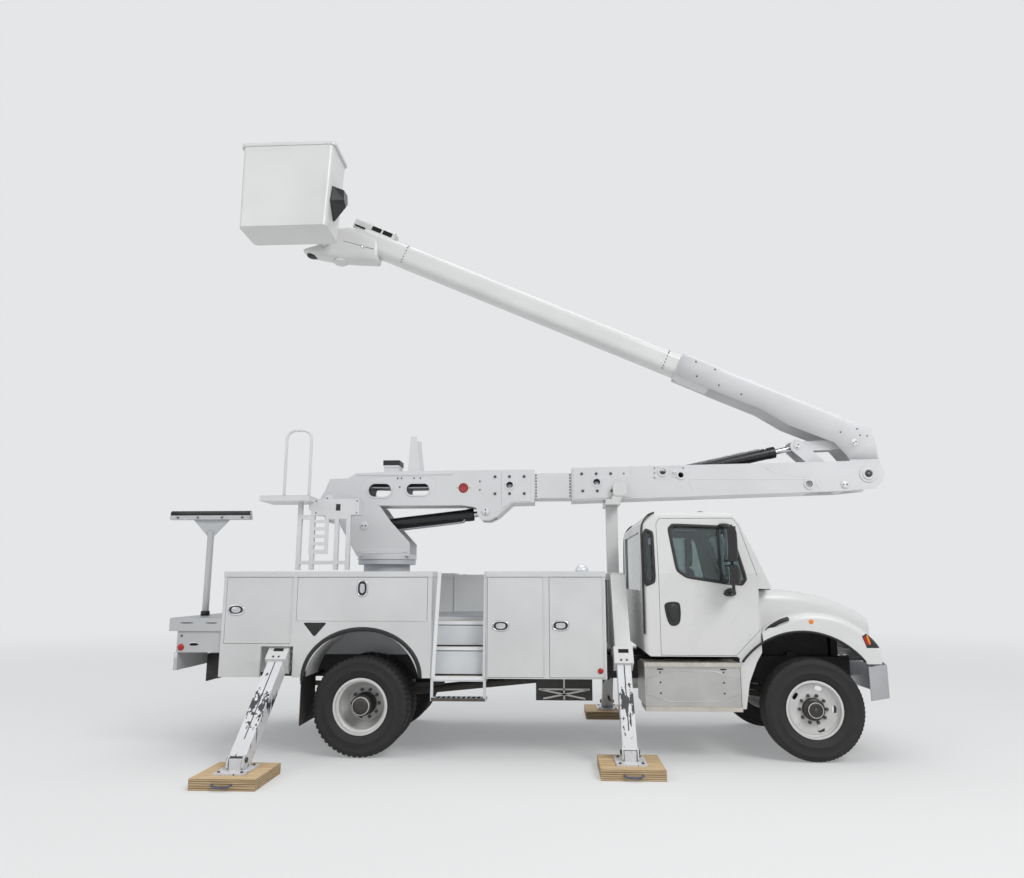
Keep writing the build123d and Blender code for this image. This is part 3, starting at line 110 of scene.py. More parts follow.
floor_material, tree, shader = node_material("pale_floor", (0.80, 0.80, 0.79), 0, 0.9)
shader.inputs["Specular IOR Level"].default_value = 0.1
distance = node(tree, "VectorMath", {0: node(tree, "TexCoord", {})["Object"]}, operation="LENGTH")["Value"]
fade = node(tree, "MapRange", {"Value": distance, "From Min": 2, "From Max": 26, "To Min": 0.30},
            interpolation_type="SMOOTHSTEP")["Result"]
seen_fade = combined(tree, "MULTIPLY", fade, seen_rays(tree))
pale = node(tree, "Emission", {"Color": PALE})[0]
blend = node(tree, "MixShader", {0: seen_fade, 1: shader.outputs[0], 2: pale})[0]
feed(tree, tree.nodes["Material Output"], {"Surface": blend})
floor_mesh = bpy.data.meshes.new("floor")
floor_mesh.from_pydata([(x * FLOOR_REACH, y * FLOOR_REACH, 0) for x, y in ((-1, -1), (1, -1), (1, 1), (-1, 1))],
                       [], [(0, 1, 2, 3)])
floor_mesh.materials.append(floor_material)
floor = bpy.data.objects.new("floor", floor_mesh)
scene.collection.objects.link(floor)

world = bpy.data.worlds.new("surround")
scene.world = world
world.use_nodes = True
tree = world.node_tree
tree.nodes.clear()
soft = node(tree, "Background", {"Color": (0.93, 0.96, 1, 1), "Strength": 0.42})[0]
seen = node(tree, "Background", {"Color": PALE, "Strength": 1})[0]
pick = node(tree, "MixShader", {0: seen_rays(tree), 1: soft, 2: seen})[0]
node(tree, "OutputWorld", {0: pick})
for lamp_name, place, tilt, size, power in (
        ("key", (9, -12, 13), (0.82, 0, 0.62), 7, 1350),
        ("fill", (-11, -9, 9), (0.95, 0, -0.9), 9, 400),
        ("sky", (0, 4, 27), (0, 0, 0), 24, 2600)):
    lamp_data = bpy.data.lights.new(lamp_name, "AREA")
    lamp_data.size = size
    lamp_data.energy = power
    lamp = bpy.data.objects.new(lamp_name, lamp_data)
    lamp.location = place
    lamp.rotation_euler = tilt
    scene.collection.objects.link(lamp)

# Chassis: two channel rails, crossmembers, axles and springs sprayed satin black, with an engine and
# gearbox of bare cast iron, all dusty towards the road. The mudflaps, drawbar hook and equipment box hang
# from the same frame.
SIDES = (("right", -1), ("left", 1))
REAR_AXLE = -1.81
FRONT_AXLE = 3.041


def noise(tree, place, scale, detail=2.0, roughness=0.5):
    """Noise on Object coordinates, as a factor."""
    return node(tree, "TexNoise", {"Scale": scale, "Detail": detail, "Roughness": roughness, "Vector": place})["Fac"]


def mapped(tree, value, to_low, to_high, from_low=0.0, from_high=1.0):
    """Carries a value from one range to another, held at both ends."""
    return node(tree, "MapRange", {"Value": value, "From Min": from_low, "From Max": from_high, "To Min": to_low,
                                   "To Max": to_high})["Result"]


def bump(tree, height, strength, distance, **normal):
    """Relief from a height, over another normal where one is given."""
    return node(tree, "Bump", {"Strength": strength, "Distance": distance, "Height": height, **normal})["Normal"]


def mixed(tree, factor, first, second):
    """Two colours mixed by a factor."""
    return node(tree, "Mix", {"Factor": factor, 6: first, 7: second}, data_type="RGBA")[2]


def scaled(tree, vector, factor):
    """A colour or vector times a factor."""
    return node(tree, "VectorMath", {0: vector, "Scale": factor}, operation="SCALE")["Vector"]


def part_of(tree, vector, axis):
    """One axis of a vector."""
    return node(tree, "SeparateXYZ", {"Vector": vector})[axis]


def coated(name, base, metallic=0.0, roughness=0.5, mottle=0.06, scale=2.2, grain=0.0, grain_scale=300.0,
           dust=0.0, dust_top=1.0, edge=0.004, dust_colour=(0.36, 0.31, 0.25)):
    """A finish with slow blotches of colour and gloss, a fine grain in relief, softened edges and road dust
    that thins out with height above the ground. Noise is read on Object coordinates."""
    material, tree, shader = node_material(name, base, metallic, roughness)
    place = node(tree, "TexCoord", {})["Object"]
    slow = noise(tree, place, scale, 5)
    colour = scaled(tree, base, mapped(tree, slow, 1 - mottle, 1 + mottle, 0.3, 0.7))
    if dust:
        fall = mapped(tree, part_of(tree, place, "Z"), dust, 0, 0, dust_top)
        amount = combined(tree, "MULTIPLY", fall, noise(tree, place, 9, 8))
        colour = mixed(tree, amount, colour, (*dust_colour, 1))
    gloss = mapped(tree, slow, max(0.03, roughness - 0.1), min(1, roughness + 0.1))
    normal = node(tree, "Bevel", {"Radius": edge}, samples=4)["Normal"]
    if grain:
        normal = bump(tree, noise(tree, place, grain_scale, 3), grain, 0.002, Normal=normal)
    feed(tree, shader, {"Base Color": colour, "Roughness": gloss, "Normal": normal})
    return material, tree, shader, colour, place


def dress(material, *names):
    """Gives CAD nodes a material on every slot of their objects."""
    for name in names:
        target = nodes[name]
        if not target.material_slots:
            target.data.materials.append(material)
        for held in target.material_slots:
            held.link = "OBJECT"
            held.material = material


chassis_black = coated("chassis_black", (0.012, 0.012, 0.013), 0, 0.5, 0.3, 3, 0.15, 220, 0.22, 1.2)[0]
cast_iron = coated("cast_iron", (0.045, 0.043, 0.042), 0.2, 0.65, 0.3, 8, 0.5, 90, 0.6, 1.2)[0]
dress(chassis_black, "frame", "front_axle", "rear_axle", "knuckle_left", "knuckle_right")
dress(cast_iron, "powertrain")


def oriented(points, faces):
    """Reverses every face of a closed surface whose signed volume is negative, so that faces look outwards."""
    p = np.asarray(points, float).reshape(-1, 3)
    p = p - p.mean(0)
    corners = np.array([(f[0], f[i], f[i + 1]) for f in faces for i in range(1, len(f) - 1)])
    a, b, c = p[corners[:, 0]], p[corners[:, 1]], p[corners[:, 2]]
    return [f[::-1] for f in faces] if np.einsum("ij,ij->i", a, np.cross(b, c)).sum() < 0 else faces


def finish_mesh(name, points, faces, body, material, smooth=True):
    """Makes a piece from arrays of points and faces, turns its normals out, and lets it ride on a body."""
    points = np.asarray(points, float).reshape(-1, 3)
    mesh = bpy.data.meshes.new(name)
    mesh.from_pydata(points, [], oriented(points, faces))
    mesh.update()
    mesh.materials.append(material)
    mesh.polygons.foreach_set("use_smooth", np.full(len(mesh.polygons), smooth))
    piece = bpy.data.objects.new(name, mesh)
    scene.collection.objects.link(piece)
    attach(piece, body)
    return piece


def grid_faces(rows, columns, wrap_rows, start=0):
    """Quads between neighbouring points of a grid, closed round the columns, and round the rows where asked."""
    low = np.arange(rows if wrap_rows else rows - 1)[:, None]
    high = (low + 1) % rows
    here = np.arange(columns)
    after = (here + 1) % columns
    quads = [low * columns + here, low * columns + after, high * columns + after, high * columns + here]
    return (start + np.stack(quads, -1).reshape(-1, 4)).tolist()


def tube_faces(rows, columns):
    """The quads of a tube whose rings have as many points as there are columns, with both ends filled."""
    last = (rows - 1) * columns
    return grid_faces(rows, columns, False) + [list(range(columns))[::-1], list(range(last, last + columns))]


def full_turn(count):
    """Equal angles round a circle, from nought."""
    return np.linspace(0, 2 * np.pi, count, endpoint=False)


def turned(name, profile, centre, body, material, axis="y", steps=48):
    """A surface of revolution: each (along, radius) point of the profile is turned about an axis through the
    centre, so point = centre + along * axis + radius * (cos, sin) of the turn; radius 0 closes an end."""
    profile = np.asarray(profile, float)
    along = np.repeat(profile[:, :1], steps, 1)
    u = profile[:, 1:] * np.cos(full_turn(steps))
    v = profile[:, 1:] * np.sin(full_turn(steps))
    points = np.stack({"y": (u, along, v), "z": (u, v, along), "x": (along, u, v)}[axis], -1) + np.array(centre)
    return finish_mesh(name, points, tube_faces(len(profile), steps), body, material)


def slab(name, outlines, plane, low, high, body, material, bevel=0.002, smooth=False):
    """Flat plates: each outline is carried straight between two levels across its plane and closed at both
    ends. The plane xz is carried along Y, xy along Z and yz along X."""
    points = []
    faces = []
    for outline in outlines:
        start = sum(map(len, points))
        rings = [np.insert(np.asarray(outline, float), {"yz": 0, "xz": 1, "xy": 2}[plane], level, 1)
                 for level in sorted((low, high))]
        points.append(np.concatenate(rings))
        faces += [[start + k for k in face] for face in oriented(points[-1], tube_faces(2, len(outline)))]
    piece = finish_mesh(name, np.concatenate(points), faces, body, material, smooth)
    if bevel:
        soft_edge = piece.modifiers.new("soft_edge", "BEVEL")
        soft_edge.width = bevel
        soft_edge.segments = 2
        soft_edge.limit_method = "ANGLE"


def ridge(foot, top, low, high):
    """A section of four corners that stands on its foot, given by two half widths and two levels."""
    return [(-foot, low), (foot, low), (top, high), (-top, high)]


def rectangle(x_low, x_high, z_low, z_high):
    """The four corners of an upright rectangle."""
    return [(x_low, z_low), (x_high, z_low), (x_high, z_high), (x_low, z_high)]


def heads(name, centres, normal, radius, height, body, material, sides=6):
    """Bolt or screw heads: a ring of a few sides rises along the normal, draws in at its rim and closes."""
    normal = np.asarray(normal, float) / np.linalg.norm(normal)
    first = np.cross(normal, (0.31, 0.2, 0.93))
    first /= np.linalg.norm(first)
    turn = full_turn(sides)[:, None]
    circle = radius * (np.cos(turn) * first + np.sin(turn) * np.cross(normal, first))
    one = np.concatenate([circle - normal * 0.002, circle + 0.7 * height * normal, 0.78 * circle + height * normal])
    single = oriented(one, tube_faces(3, sides))
    faces = [[k * len(one) + v for v in face] for k in range(len(centres)) for face in single]
    finish_mesh(name, np.asarray(centres, float)[:, None, :] + one, faces, body, material, False)


def carried(name, path, normal, profile, body, material, closed=False, smooth=True):
    """A section carried along a path: each (across, out) point of the section is laid square to the path,
    across = path direction x normal, out = along the normal. An open path has its ends filled."""
    path = np.asarray(path, float)
    run = np.roll(path, -1, 0) - np.roll(path, 1, 0) if closed else np.gradient(path, axis=0)
    side = np.cross(run, np.broadcast_to(np.asarray(normal, float), path.shape))
    side /= np.linalg.norm(side, axis=1)[:, None]
    rise = np.cross(side, run)
    rise /= np.linalg.norm(rise, axis=1)[:, None]
    profile = np.asarray(profile, float)[None, :, :, None]
    points = path[:, None] + profile[:, :, 0] * side[:, None] + profile[:, :, 1] * rise[:, None]
    size = points.shape[:2]
    finish_mesh(name, points, grid_faces(*size, True) if closed else tube_faces(*size), body, material, smooth)


def eased(corners, times=3, closed=True):
    """Rounds a polygon by cutting its corners: each side is replaced by its points at one and three quarters."""
    loop = np.asarray(corners, float)
    for _ in range(times):
        after = np.roll(loop, -1, 0) if closed else loop[1:]
        here = loop if closed else loop[:-1]
        cut = np.stack([0.75 * here + 0.25 * after, 0.25 * here + 0.75 * after], 1).reshape(-1, loop.shape[1])
        loop = cut if closed else np.concatenate([loop[:1], cut, loop[-1:]])
    return loop


def disc(radius, sides=12):
    """The round section of a tube or rod, as (across, out) points."""
    return np.stack([radius * np.cos(full_turn(sides)), radius * np.sin(full_turn(sides))], -1)


def from_axle(points, axle=REAR_AXLE):
    """Points whose first number is a distance ahead of an axle, moved to the frame's X."""
    points = np.array(points, float)
    points[..., 0] += axle
    return points


def on_plane(loop, y):
    """Lays an (x, z) outline on an upright plane along the truck."""
    return np.insert(np.asarray(loop, float), 1, y, 1)


def sided(body, label):
    """A body's full name: one that ends in an underscore has a left and a right."""
    return body + label if body.endswith("_") else body


def slab_pair(name, outlines, inner, outer, body, material, bevel=0.002, smooth=False):
    """The same upright plates on both sides, between two distances from the middle of the truck."""
    for label, side in SIDES:
        slab(f"{name}_{label}", outlines, "xz", side * inner, side * outer, sided(body, label), material, bevel, smooth)


def turned_pair(name, profile, spot, body, material, steps=48):
    """The same turned piece on both sides, about an axis across the truck through the (x, z) spot."""
    for label, side in SIDES:
        turned(f"{name}_{label}", np.multiply(profile, (side, 1)), (spot[0], 0, spot[1]), sided(body, label),
               material, steps=steps)


def carried_pair(name, path, profile, body, material, closed=False, smooth=True, normal=(0, 1, 0)):
    """The same section on both sides along a path that is given for the left side, as its normal is."""
    for label, side in SIDES:
        carried(f"{name}_{label}", np.multiply(path, (1, side, 1)), np.multiply(normal, (1, side, 1)), profile,
                sided(body, label), material, closed, smooth)


heads("frame_bolts", from_axle([(s, side * 0.433, z) for _, side in SIDES for s in
      (-1.6, -1.5, -0.9, -0.55, 0.55, 0.9, 1.9, 2.0, 2.9, 3.0, 4.2, 4.3, 5.2, 5.3) for z in (0.82, 0.95)]),
      (0, 1, 0), 0.013, 0.01, "chassis", cast_iron)
slab_pair("flap_clamp", [from_axle(rectangle(-0.662, -0.652, 0.76, 0.79))], 0.71, 1.19, "chassis", cast_iron, 0.001)

# Tyres: black rubber with a closed shoulder and ribs in front, and open lugs on the driven twins.
# The tread is worn matt and the sidewalls carry two moulded rings and road dust, with no lettering.
tyre_rubber = coated("tyre_rubber", (0.010, 0.010, 0.0105), 0, 0.72, 0.35, 7, 0.25, 160, 0.09, 1.2, 0.003,
                     (0.20, 0.18, 0.15))[0]
TREAD_RADIUS = 0.527
SHOULDER_RADIUS = 0.505
rib = []
for groove in (-0.066, -0.022, 0.022, 0.066):
    rib += [(groove - 0.0065, 0.0), (groove - 0.0045, -0.012), (groove + 0.0045, -0.012), (groove + 0.0065, 0.0)]
half_section = [(-0.098, 0.292), (-0.101, 0.3015), (-0.116, 0.308), (-0.1285, 0.333), (-0.1365, 0.372),
                (-0.1388, 0.3745), (-0.1388, 0.3785), (-0.1368, 0.381), (-0.1385, 0.425), (-0.1352, 0.462),
                (-0.1366, 0.465), (-0.1362, 0.470), (-0.1335, 0.473), (-0.127, 0.497), (-0.118, 0.514),
                (-0.108, 0.5215)]
band = [(-0.098, 0.5242), (-0.088, 0.5256)] + [(y, TREAD_RADIUS - 0.12 * y * y + d) for y, d in rib]
band += [(0.088, 0.5256), (0.098, 0.5242)]
section = np.array(half_section + band + [(-y, r) for y, r in reversed(half_section)])


def tyre(middles, lugs):
    """Turns the section about the axle in 432 steps. The radius drops by a groove's depth where a wave that
    runs round the tread and leans with Y passes its crest: on the shoulders alone, or across the whole band."""
    inner_edge, waves, lean, depth, crest = (0.03, 54, 16, 0.013, 0.45) if lugs else (0.078, 72, 6, 0.005, 0.7)
    turn = full_turn(432)[:, None]
    y, radius = section[None, :, 0], section[None, :, 1]
    cut = (radius > SHOULDER_RADIUS) & (np.abs(y) > inner_edge) & (np.cos(waves * turn + lean * y) > crest)
    worn = radius - depth * cut * np.clip((radius - SHOULDER_RADIUS) / 0.012, 0, 1)
    x, z = worn * np.cos(turn), worn * np.sin(turn) + TREAD_RADIUS
    rings = [np.stack([x, np.broadcast_to(y + middle, x.shape), z], -1) for middle in middles]
    faces = [face for k in range(len(rings)) for face in grid_faces(*x.shape, True, k * x.size)]
    return np.concatenate(rings), faces


for label, side in SIDES:
    for name, x, middles, lugs, body in (("front_tyre_", FRONT_AXLE, (1.010,), False, "wheel_front_"),
                                         ("rear_tyres_", REAR_AXLE, (1.050, 0.707), True, "wheel_rear_")):
        points, faces = tyre([side * m for m in middles], lugs)
        piece = finish_mesh(name.replace("_tyre", "_rubber") + label, from_axle(points, x), faces, body + label,
                            tyre_rubber)
        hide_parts(name + label)

# Disc wheels: pressed steel sprayed white, held by ten nuts round a dark hub. The front hub carries an
# oil cap, and the driven hub a ribbed flange with eight bolts.
wheel_white = coated("wheel_white", (0.66, 0.66, 0.65), 0, 0.35, 0.06, 5, 0.1, 250, 0.35, 1.0, 0.003)[0]
hub_black = coated("hub_black", (0.02, 0.02, 0.022), 0.3, 0.42, 0.3, 12, 0.3, 200, 0.3, 1.0, 0.002)[0]
nut_steel = coated("nut_steel", (0.10, 0.10, 0.10), 0.8, 0.45, 0.3, 30, 0.2, 300, 0, 1, 0.001)[0]
dress(wheel_white, "front_rim_right", "front_rim_left", "rear_rims_right", "rear_rims_left")


def bolt_circle(x, y, radius, count, start=0.0):
    """Spots round an axle: (x, hub height) + radius * (cos, sin) of each turn, at one distance out."""
    turn = start + full_turn(count)
    return np.stack([x + radius * np.cos(turn), np.full(count, y), TREAD_RADIUS + radius * np.sin(turn)], -1)


def heads_pair(name, spots, radius, height, body, material=nut_steel, sides=6, normal=(0, 1, 0)):
    """The same heads on both sides, at spots and along a normal that are given for the left side."""
    for label, side in SIDES:
        heads(f"{name}_{label}", np.multiply(spots, (1, side, 1)), np.multiply(normal, (1, side, 1)), radius, height,
              sided(body, label), material, sides)


heads_pair("front_nuts", bolt_circle(FRONT_AXLE, 1.056, 0.143, 10), 0.0185, 0.03, "wheel_front_")
heads_pair("rear_nuts", bolt_circle(REAR_AXLE, 0.8905, 0.152, 10), 0.0185, 0.034, "wheel_rear_")
heads_pair("rear_hub_bolts", bolt_circle(REAR_AXLE, 1.104, 0.104, 8, 0.2), 0.008, 0.012, "wheel_rear_")
for name, x, body, material, steps, profile in (
        ("front_hub_cover", FRONT_AXLE, "wheel_front_", hub_black, 48,
         ((1.057, 0.04), (1.057, 0.1145), (1.062, 0.1165), (1.108, 0.1125), (1.113, 0.107), (1.1145, 0.085),
          (1.140, 0.0825), (1.157, 0.079), (1.1635, 0.068), (1.1645, 0.03))),
        ("front_oil_plug", FRONT_AXLE, "wheel_front_", nut_steel, 24,
         ((1.160, 0.022), (1.1685, 0.022), (1.171, 0.015))),
        ("rear_hub_cover", REAR_AXLE, "wheel_rear_", hub_black, 48,
         ((0.892, 0.05), (0.892, 0.1225), (0.944, 0.1225), (0.948, 0.118), (0.95, 0.101), (1.080, 0.0985),
          (1.084, 0.112), (1.104, 0.112), (1.108, 0.098), (1.1465, 0.088), (1.1495, 0.04)))):
    turned_pair(name, profile, (x, TREAD_RADIUS), body, material, steps)

# Cab: welded steel sprayed white, hollow, with a black rubber weatherstrip round each window, a drip rail
# down the rear of the roof, and a low beacon dome on top.
white_enamel = coated("white_enamel", (0.70, 0.70, 0.69), 0, 0.28, 0.03, 1.3, 0.03, 900, 0.22, 1.2, 0.005)[0]
black_rubber = coated("black_rubber", (0.012, 0.012, 0.013), 0, 0.5, 0.3, 15, 0.2, 400, 0.1, 1.0, 0.001)[0]
black_plastic = coated("black_plastic", (0.02, 0.02, 0.021), 0, 0.36, 0.25, 10, 0.25, 700, 0.1, 1.0, 0.003)[0]
cab_vinyl = coated("cab_vinyl", (0.055, 0.056, 0.06), 0, 0.62, 0.2, 6, 0.5, 380, 0, 1, 0.02)[0]
dress(white_enamel, "cab_shell")
dress(cab_vinyl, "cab_interior", "steering_wheel")
window_glass, tree, shader = node_material("window_glass", (0.42, 0.50, 0.50), 0, 0.02)
ripple = bump(tree, noise(tree, node(tree, "TexCoord", {})["Object"], 3), 0.05, 0.01)
feed(tree, shader, {"Transmission Weight": 0.92, "IOR": 1.45, "Normal": ripple})
dress(window_glass, "cab_glass", "door_glass_left", "door_glass_right")


def on_side(loop, proud=0.0):
    """Lays an (x, z) outline, in metres from the front axle, on the cab's left side, which leans in above the
    sill line by the tumblehome; proud lifts it off the skin."""
    flat = np.asarray(loop, float)
    lean = np.clip((flat[:, 1] - 1.95) / 0.685, 0, 1) * 0.110
    return np.stack([FRONT_AXLE + flat[:, 0], 1.120 - lean + proud, flat[:, 1]], -1)


def dense(loop, count):
    """Splits each side of a closed outline into equal steps."""
    loop = np.asarray(loop)
    return np.concatenate([np.linspace(a, b, count, endpoint=False) for a, b in zip(loop, np.roll(loop, -1, 0))])


door_window = [(-1.404, 2.485), (-0.861, 2.460), (-0.766, 2.410), (-0.645, 1.885), (-0.687, 1.832),
               (-0.851, 1.842), (-1.281, 1.912), (-1.381, 1.985), (-1.446, 2.440)]
corner_window = [(-1.731, 1.820), (-1.636, 1.860), (-1.636, 2.400), (-1.701, 2.430), (-1.731, 2.380)]
weatherstrip = [(-0.017, -0.004), (0.017, -0.004), (0.017, 0.004), (0.010, 0.009), (-0.010, 0.009), (-0.017, 0.004)]
LEANT = (0, 1, 0.1)
for name, window, body in (("door", door_window, "cab_door_"), ("corner", corner_window, "chassis")):
    carried_pair(name + "_weatherstrip", on_side(eased(dense(window, 3), 2)), weatherstrip, body, black_rubber, True,
                 normal=LEANT)
carried_pair("vent_divider", on_side([(-0.905, 1.87), (-0.905, 2.44)], -0.012), ridge(0.014, 0.014, -0.012, 0.008),
             "cab_door_", black_rubber, False, False, LEANT)
drip = eased([(-1.761, 1.30), (-1.761, 2.36), (-1.748, 2.50), (-1.68, 2.60), (-1.60, 2.628)], 3, False)
carried_pair("drip_rail", on_side(drip, -0.022), ridge(0.008, 0.008, -0.01, 0.024), "chassis", black_rubber, False,
             False, LEANT)
handle = eased([(-1.530, 1.632), (-1.390, 1.640), (-1.366, 1.600), (-1.372, 1.425), (-1.425, 1.388),
                (-1.492, 1.398), (-1.530, 1.560)], 3)
paddle = eased([(-1.512, 1.615), (-1.395, 1.620), (-1.385, 1.47), (-1.425, 1.435), (-1.480, 1.452)], 2)
carried_pair("handle_bezel", on_side(handle), ridge(0.007, 0.005, -0.003, 0.005), "cab_door_", black_rubber, True)
slab_pair("handle_cup", [from_axle(handle, FRONT_AXLE)], 1.117, 1.1215, "cab_door_", black_plastic, 0)
slab_pair("handle_paddle", [from_axle(paddle, FRONT_AXLE)], 1.121, 1.134, "cab_door_", black_plastic, 0.006, True)
heads_pair("door_lock", from_axle([(-1.45, 1.134, 1.60)], FRONT_AXLE), 0.011, 0.004, "cab_door_", nut_steel, 16)


def slope_x(z):
    """The windscreen's X at a height."""
    return FRONT_AXLE - 0.371 - (z - 1.780) * 0.290 / 0.720


SCREEN_NORMAL = (0.928, 0, 0.373)
screen = eased(dense([(-0.930, 1.840), (0.930, 1.840), (0.840, 2.455), (-0.840, 2.455)], 4), 2)
carried("screen_weatherstrip", np.stack([slope_x(screen[:, 1]), screen[:, 0], screen[:, 1]], -1), SCREEN_NORMAL,
        weatherstrip, "chassis", black_rubber, True)
for number, arm_y, reach_y in ((38, -0.62, 0.05), (112, 0.12, 0.72)):
    arm = [(slope_x(1.80) + 0.02, arm_y, 1.805), (slope_x(1.86) + 0.035, arm_y + 0.10, 1.865),
           (slope_x(1.93) + 0.03, (arm_y + reach_y) / 2 + 0.02, 1.925)]
    carried(f"wiper_arm_{number}", arm, SCREEN_NORMAL, disc(0.008, 8), "chassis", black_plastic)
    blade = [(slope_x(1.885) + 0.020, arm_y + 0.08, 1.885), (slope_x(1.92) + 0.022, reach_y, 1.955)]
    carried(f"wiper_blade_{number}", blade, SCREEN_NORMAL, [(-0.006, -0.01), (0.006, -0.01), (0.010, 0.008),
            (-0.010, 0.008)], "chassis", black_rubber, smooth=False)
cowl = [(slope_x(1.79) + 0.012, y, 1.797) for y in np.linspace(-0.86, 0.86, 25)]
carried("cowl_grille", cowl, (0.5, 0, 0.86), ridge(0.05, 0.045, -0.004, 0.012), "chassis", black_plastic, smooth=False)
amber = node_material("amber_lens", (0.85, 0.25, 0.02), 0, 0.15)[0]
turned("beacon_dome", [(-0.004, 0.05), (-0.004, 0.088), (0.012, 0.088), (0.02, 0.078), (0.055, 0.070),
                       (0.078, 0.052), (0.088, 0.02)], (REAR_AXLE + 3.95, -0.05, 2.635), "chassis", black_plastic,
       axis="z", steps=40)

# Doors: white skins with black mirrors. Each side has a tall flat glass over a round-cornered wide-angle
# one, in moulded shells that face forward, on a tube with a bracket at each end.
door_white, tree, shader, colour, place = coated("door_white", (0.70, 0.70, 0.69), 0, 0.28, 0.03, 1.3, 0.03,
                                                 900, 0.22, 1.2, 0.005)
DOOR_SKIN = 1.1215
outward = combined(tree, "ABSOLUTE", part_of(tree, place, "Y"))
beyond = combined(tree, "GREATER_THAN", outward, DOOR_SKIN)
feed(tree, shader, {"Base Color": mixed(tree, beyond, colour, (0.016, 0.016, 0.017, 1))})
dress(door_white, "cab_door_left", "cab_door_right")
mirror_glass = coated("mirror_glass", (0.75, 0.78, 0.80), 1.0, 0.05, 0.02, 2, 0, 1, 0, 1, 0.001)[0]


def superellipse(count, power):
    """Two coordinates round |a|^p + |b|^p = 1, from the signed powers of cosine and sine."""
    cosine, sine = np.cos(full_turn(count)), np.sin(full_turn(count))
    return [np.sign(value) * np.abs(value) ** (2 / power) for value in (cosine, sine)]


def shell_between(name, x_front, x_back, y_low, y_high, z_low, z_high, body, material, power=4.0, bulge=0.35):
    """A moulded housing: across its face a superellipse of the given power fills the rectangle. It domes
    forward, x = back + depth * sin(latitude), while the outline shrinks by a low power of the cosine."""
    level = np.linspace(0, 1, 12)[:, None]
    shrink = np.cos(level * np.pi / 2 * 0.92) ** bulge
    wide, tall = superellipse(48, power)
    y = (y_low + y_high) / 2 + (y_high - y_low) / 2 * wide * shrink
    z = (z_low + z_high) / 2 + (z_high - z_low) / 2 * tall * shrink
    x = np.broadcast_to(x_back + (x_front - x_back) * np.sin(level * np.pi / 2), y.shape)
    finish_mesh(name, np.stack([x, y, z], -1), tube_faces(12, 48), body, material)


for label, side in SIDES:
    door = "cab_door_" + label
    low_y, high_y = sorted((side * 1.437, side * 1.233))
    for name, front, z_low, z_high, power, glass_x, glass_low, glass_high, rounding in (
            ("", -0.778, 2.062, 2.448, 4.0, -0.8945, 2.085, 2.425, 2),
            ("wide_", -0.762, 1.820, 2.045, 3.0, -0.8895, 1.842, 2.022, 3)):
        shell_between(f"{name}mirror_shell_{label}", FRONT_AXLE + front, FRONT_AXLE - 0.850, low_y, high_y, z_low,
                      z_high, door, black_plastic, power)
        slab(f"{name}mirror_glass_{label}", [eased(rectangle(low_y + 0.012, high_y - 0.012, glass_low, glass_high),
             rounding)], "yz", FRONT_AXLE + glass_x, FRONT_AXLE + glass_x + 0.004, door, mirror_glass, 0)
arm = from_axle([(-0.82, 1.118, 1.735), (-0.82, 1.25, 1.728), (-0.825, 1.332, 1.760), (-0.831, 1.336, 1.83)],
                FRONT_AXLE)
carried_pair("mirror_arm_low", eased(arm, 3, False), disc(0.017), "cab_door_", black_plastic, normal=(0.3, 0, 1))
for name, inner, outer, foot in (
        ("mirror_foot", 1.119, 1.160, ((-0.90, 1.700), (-0.76, 1.705), (-0.765, 1.765), (-0.80, 1.800),
                                       (-0.885, 1.77))),
        ("mirror_top_foot", 1.040, 1.100, ((-0.905, 2.458), (-0.77, 2.452), (-0.775, 2.492), (-0.90, 2.500)))):
    slab_pair(name, [eased(from_axle(foot, FRONT_AXLE), 2)], inner, outer, "cab_door_", black_plastic, 0.006, True)

# Seats and dash are trimmed in dark vinyl: crowned seat backs, headrests, and a moulded instrument hood
# ahead of the wheel, all seen through the glass.
for label, side in SIDES:
    for name, front, back, half, low, high, power in (("headrest_", -1.545, -1.70, 0.14, 2.12, 2.30, 3.0),
                                                      ("seat_back_", -1.44, -1.60, 0.235, 1.50, 2.15, 5.0)):
        shell_between(name + label, FRONT_AXLE + front, FRONT_AXLE + back, side * 0.52 - half, side * 0.52 + half,
                      low, high, "chassis", cab_vinyl, power)
dash = from_axle([(-0.86, 1.700), (-0.70, 1.742), (-0.58, 1.738), (-0.60, 1.775), (-0.76, 1.80), (-0.87, 1.76)],
                 FRONT_AXLE)
slab("dash_hood", [eased(dash, 2)], "xz", 0.27, 0.78, "chassis", cab_vinyl, 0.01, True)

# Hood: one resin moulding with both fenders, hinged at the front. A rubber latch strap holds it each side
# to the cowl, and the wheel opening has a rolled black rubber lip.
dress(white_enamel, "hood")
dress(black_plastic, "grille")
strap = [(2.575, 1.119, 1.320), (2.62, 1.126, 1.372), (2.69, 1.1765, 1.425), (2.75, 1.1775, 1.452),
         (2.81, 1.175, 1.468)]
carried_pair("hood_latch", eased(strap, 2, False), [(-0.020, -0.006), (0.020, -0.006), (0.022, 0.004), (0.012, 0.012),
             (-0.012, 0.012), (-0.022, 0.004)], "hood", black_rubber, normal=(0, 1, 0.2))
heads_pair("latch_ends", [(2.585, 1.128, 1.335), (2.80, 1.178, 1.464)], 0.016, 0.012, "hood", nut_steel, 12,
           (0, 1, 0.1))
arch = np.linspace(math.radians(-6), math.radians(178), 64)
opening = on_plane(np.stack([2.950 + 0.808 * np.cos(arch), 0.527 + 0.808 * np.sin(arch)], -1), 1.166)
carried_pair("fender_lip", opening[opening[:, 2] > 1.005], ridge(0.012, 0.010, -0.012, 0.006), "hood", black_rubber)
turned_pair("fender_marker", ((1.160, 0.0), (1.160, 0.026), (1.170, 0.026), (1.178, 0.016), (1.180, 0.004)),
            (3.05, 1.437), "hood", amber, 24)
slab("grille_surround", [eased([(-0.455, 1.075), (0.455, 1.075), (0.47, 1.40), (-0.47, 1.40)], 2)], "yz",
     FRONT_AXLE + 0.735, FRONT_AXLE + 0.752, "hood", black_plastic, 0)

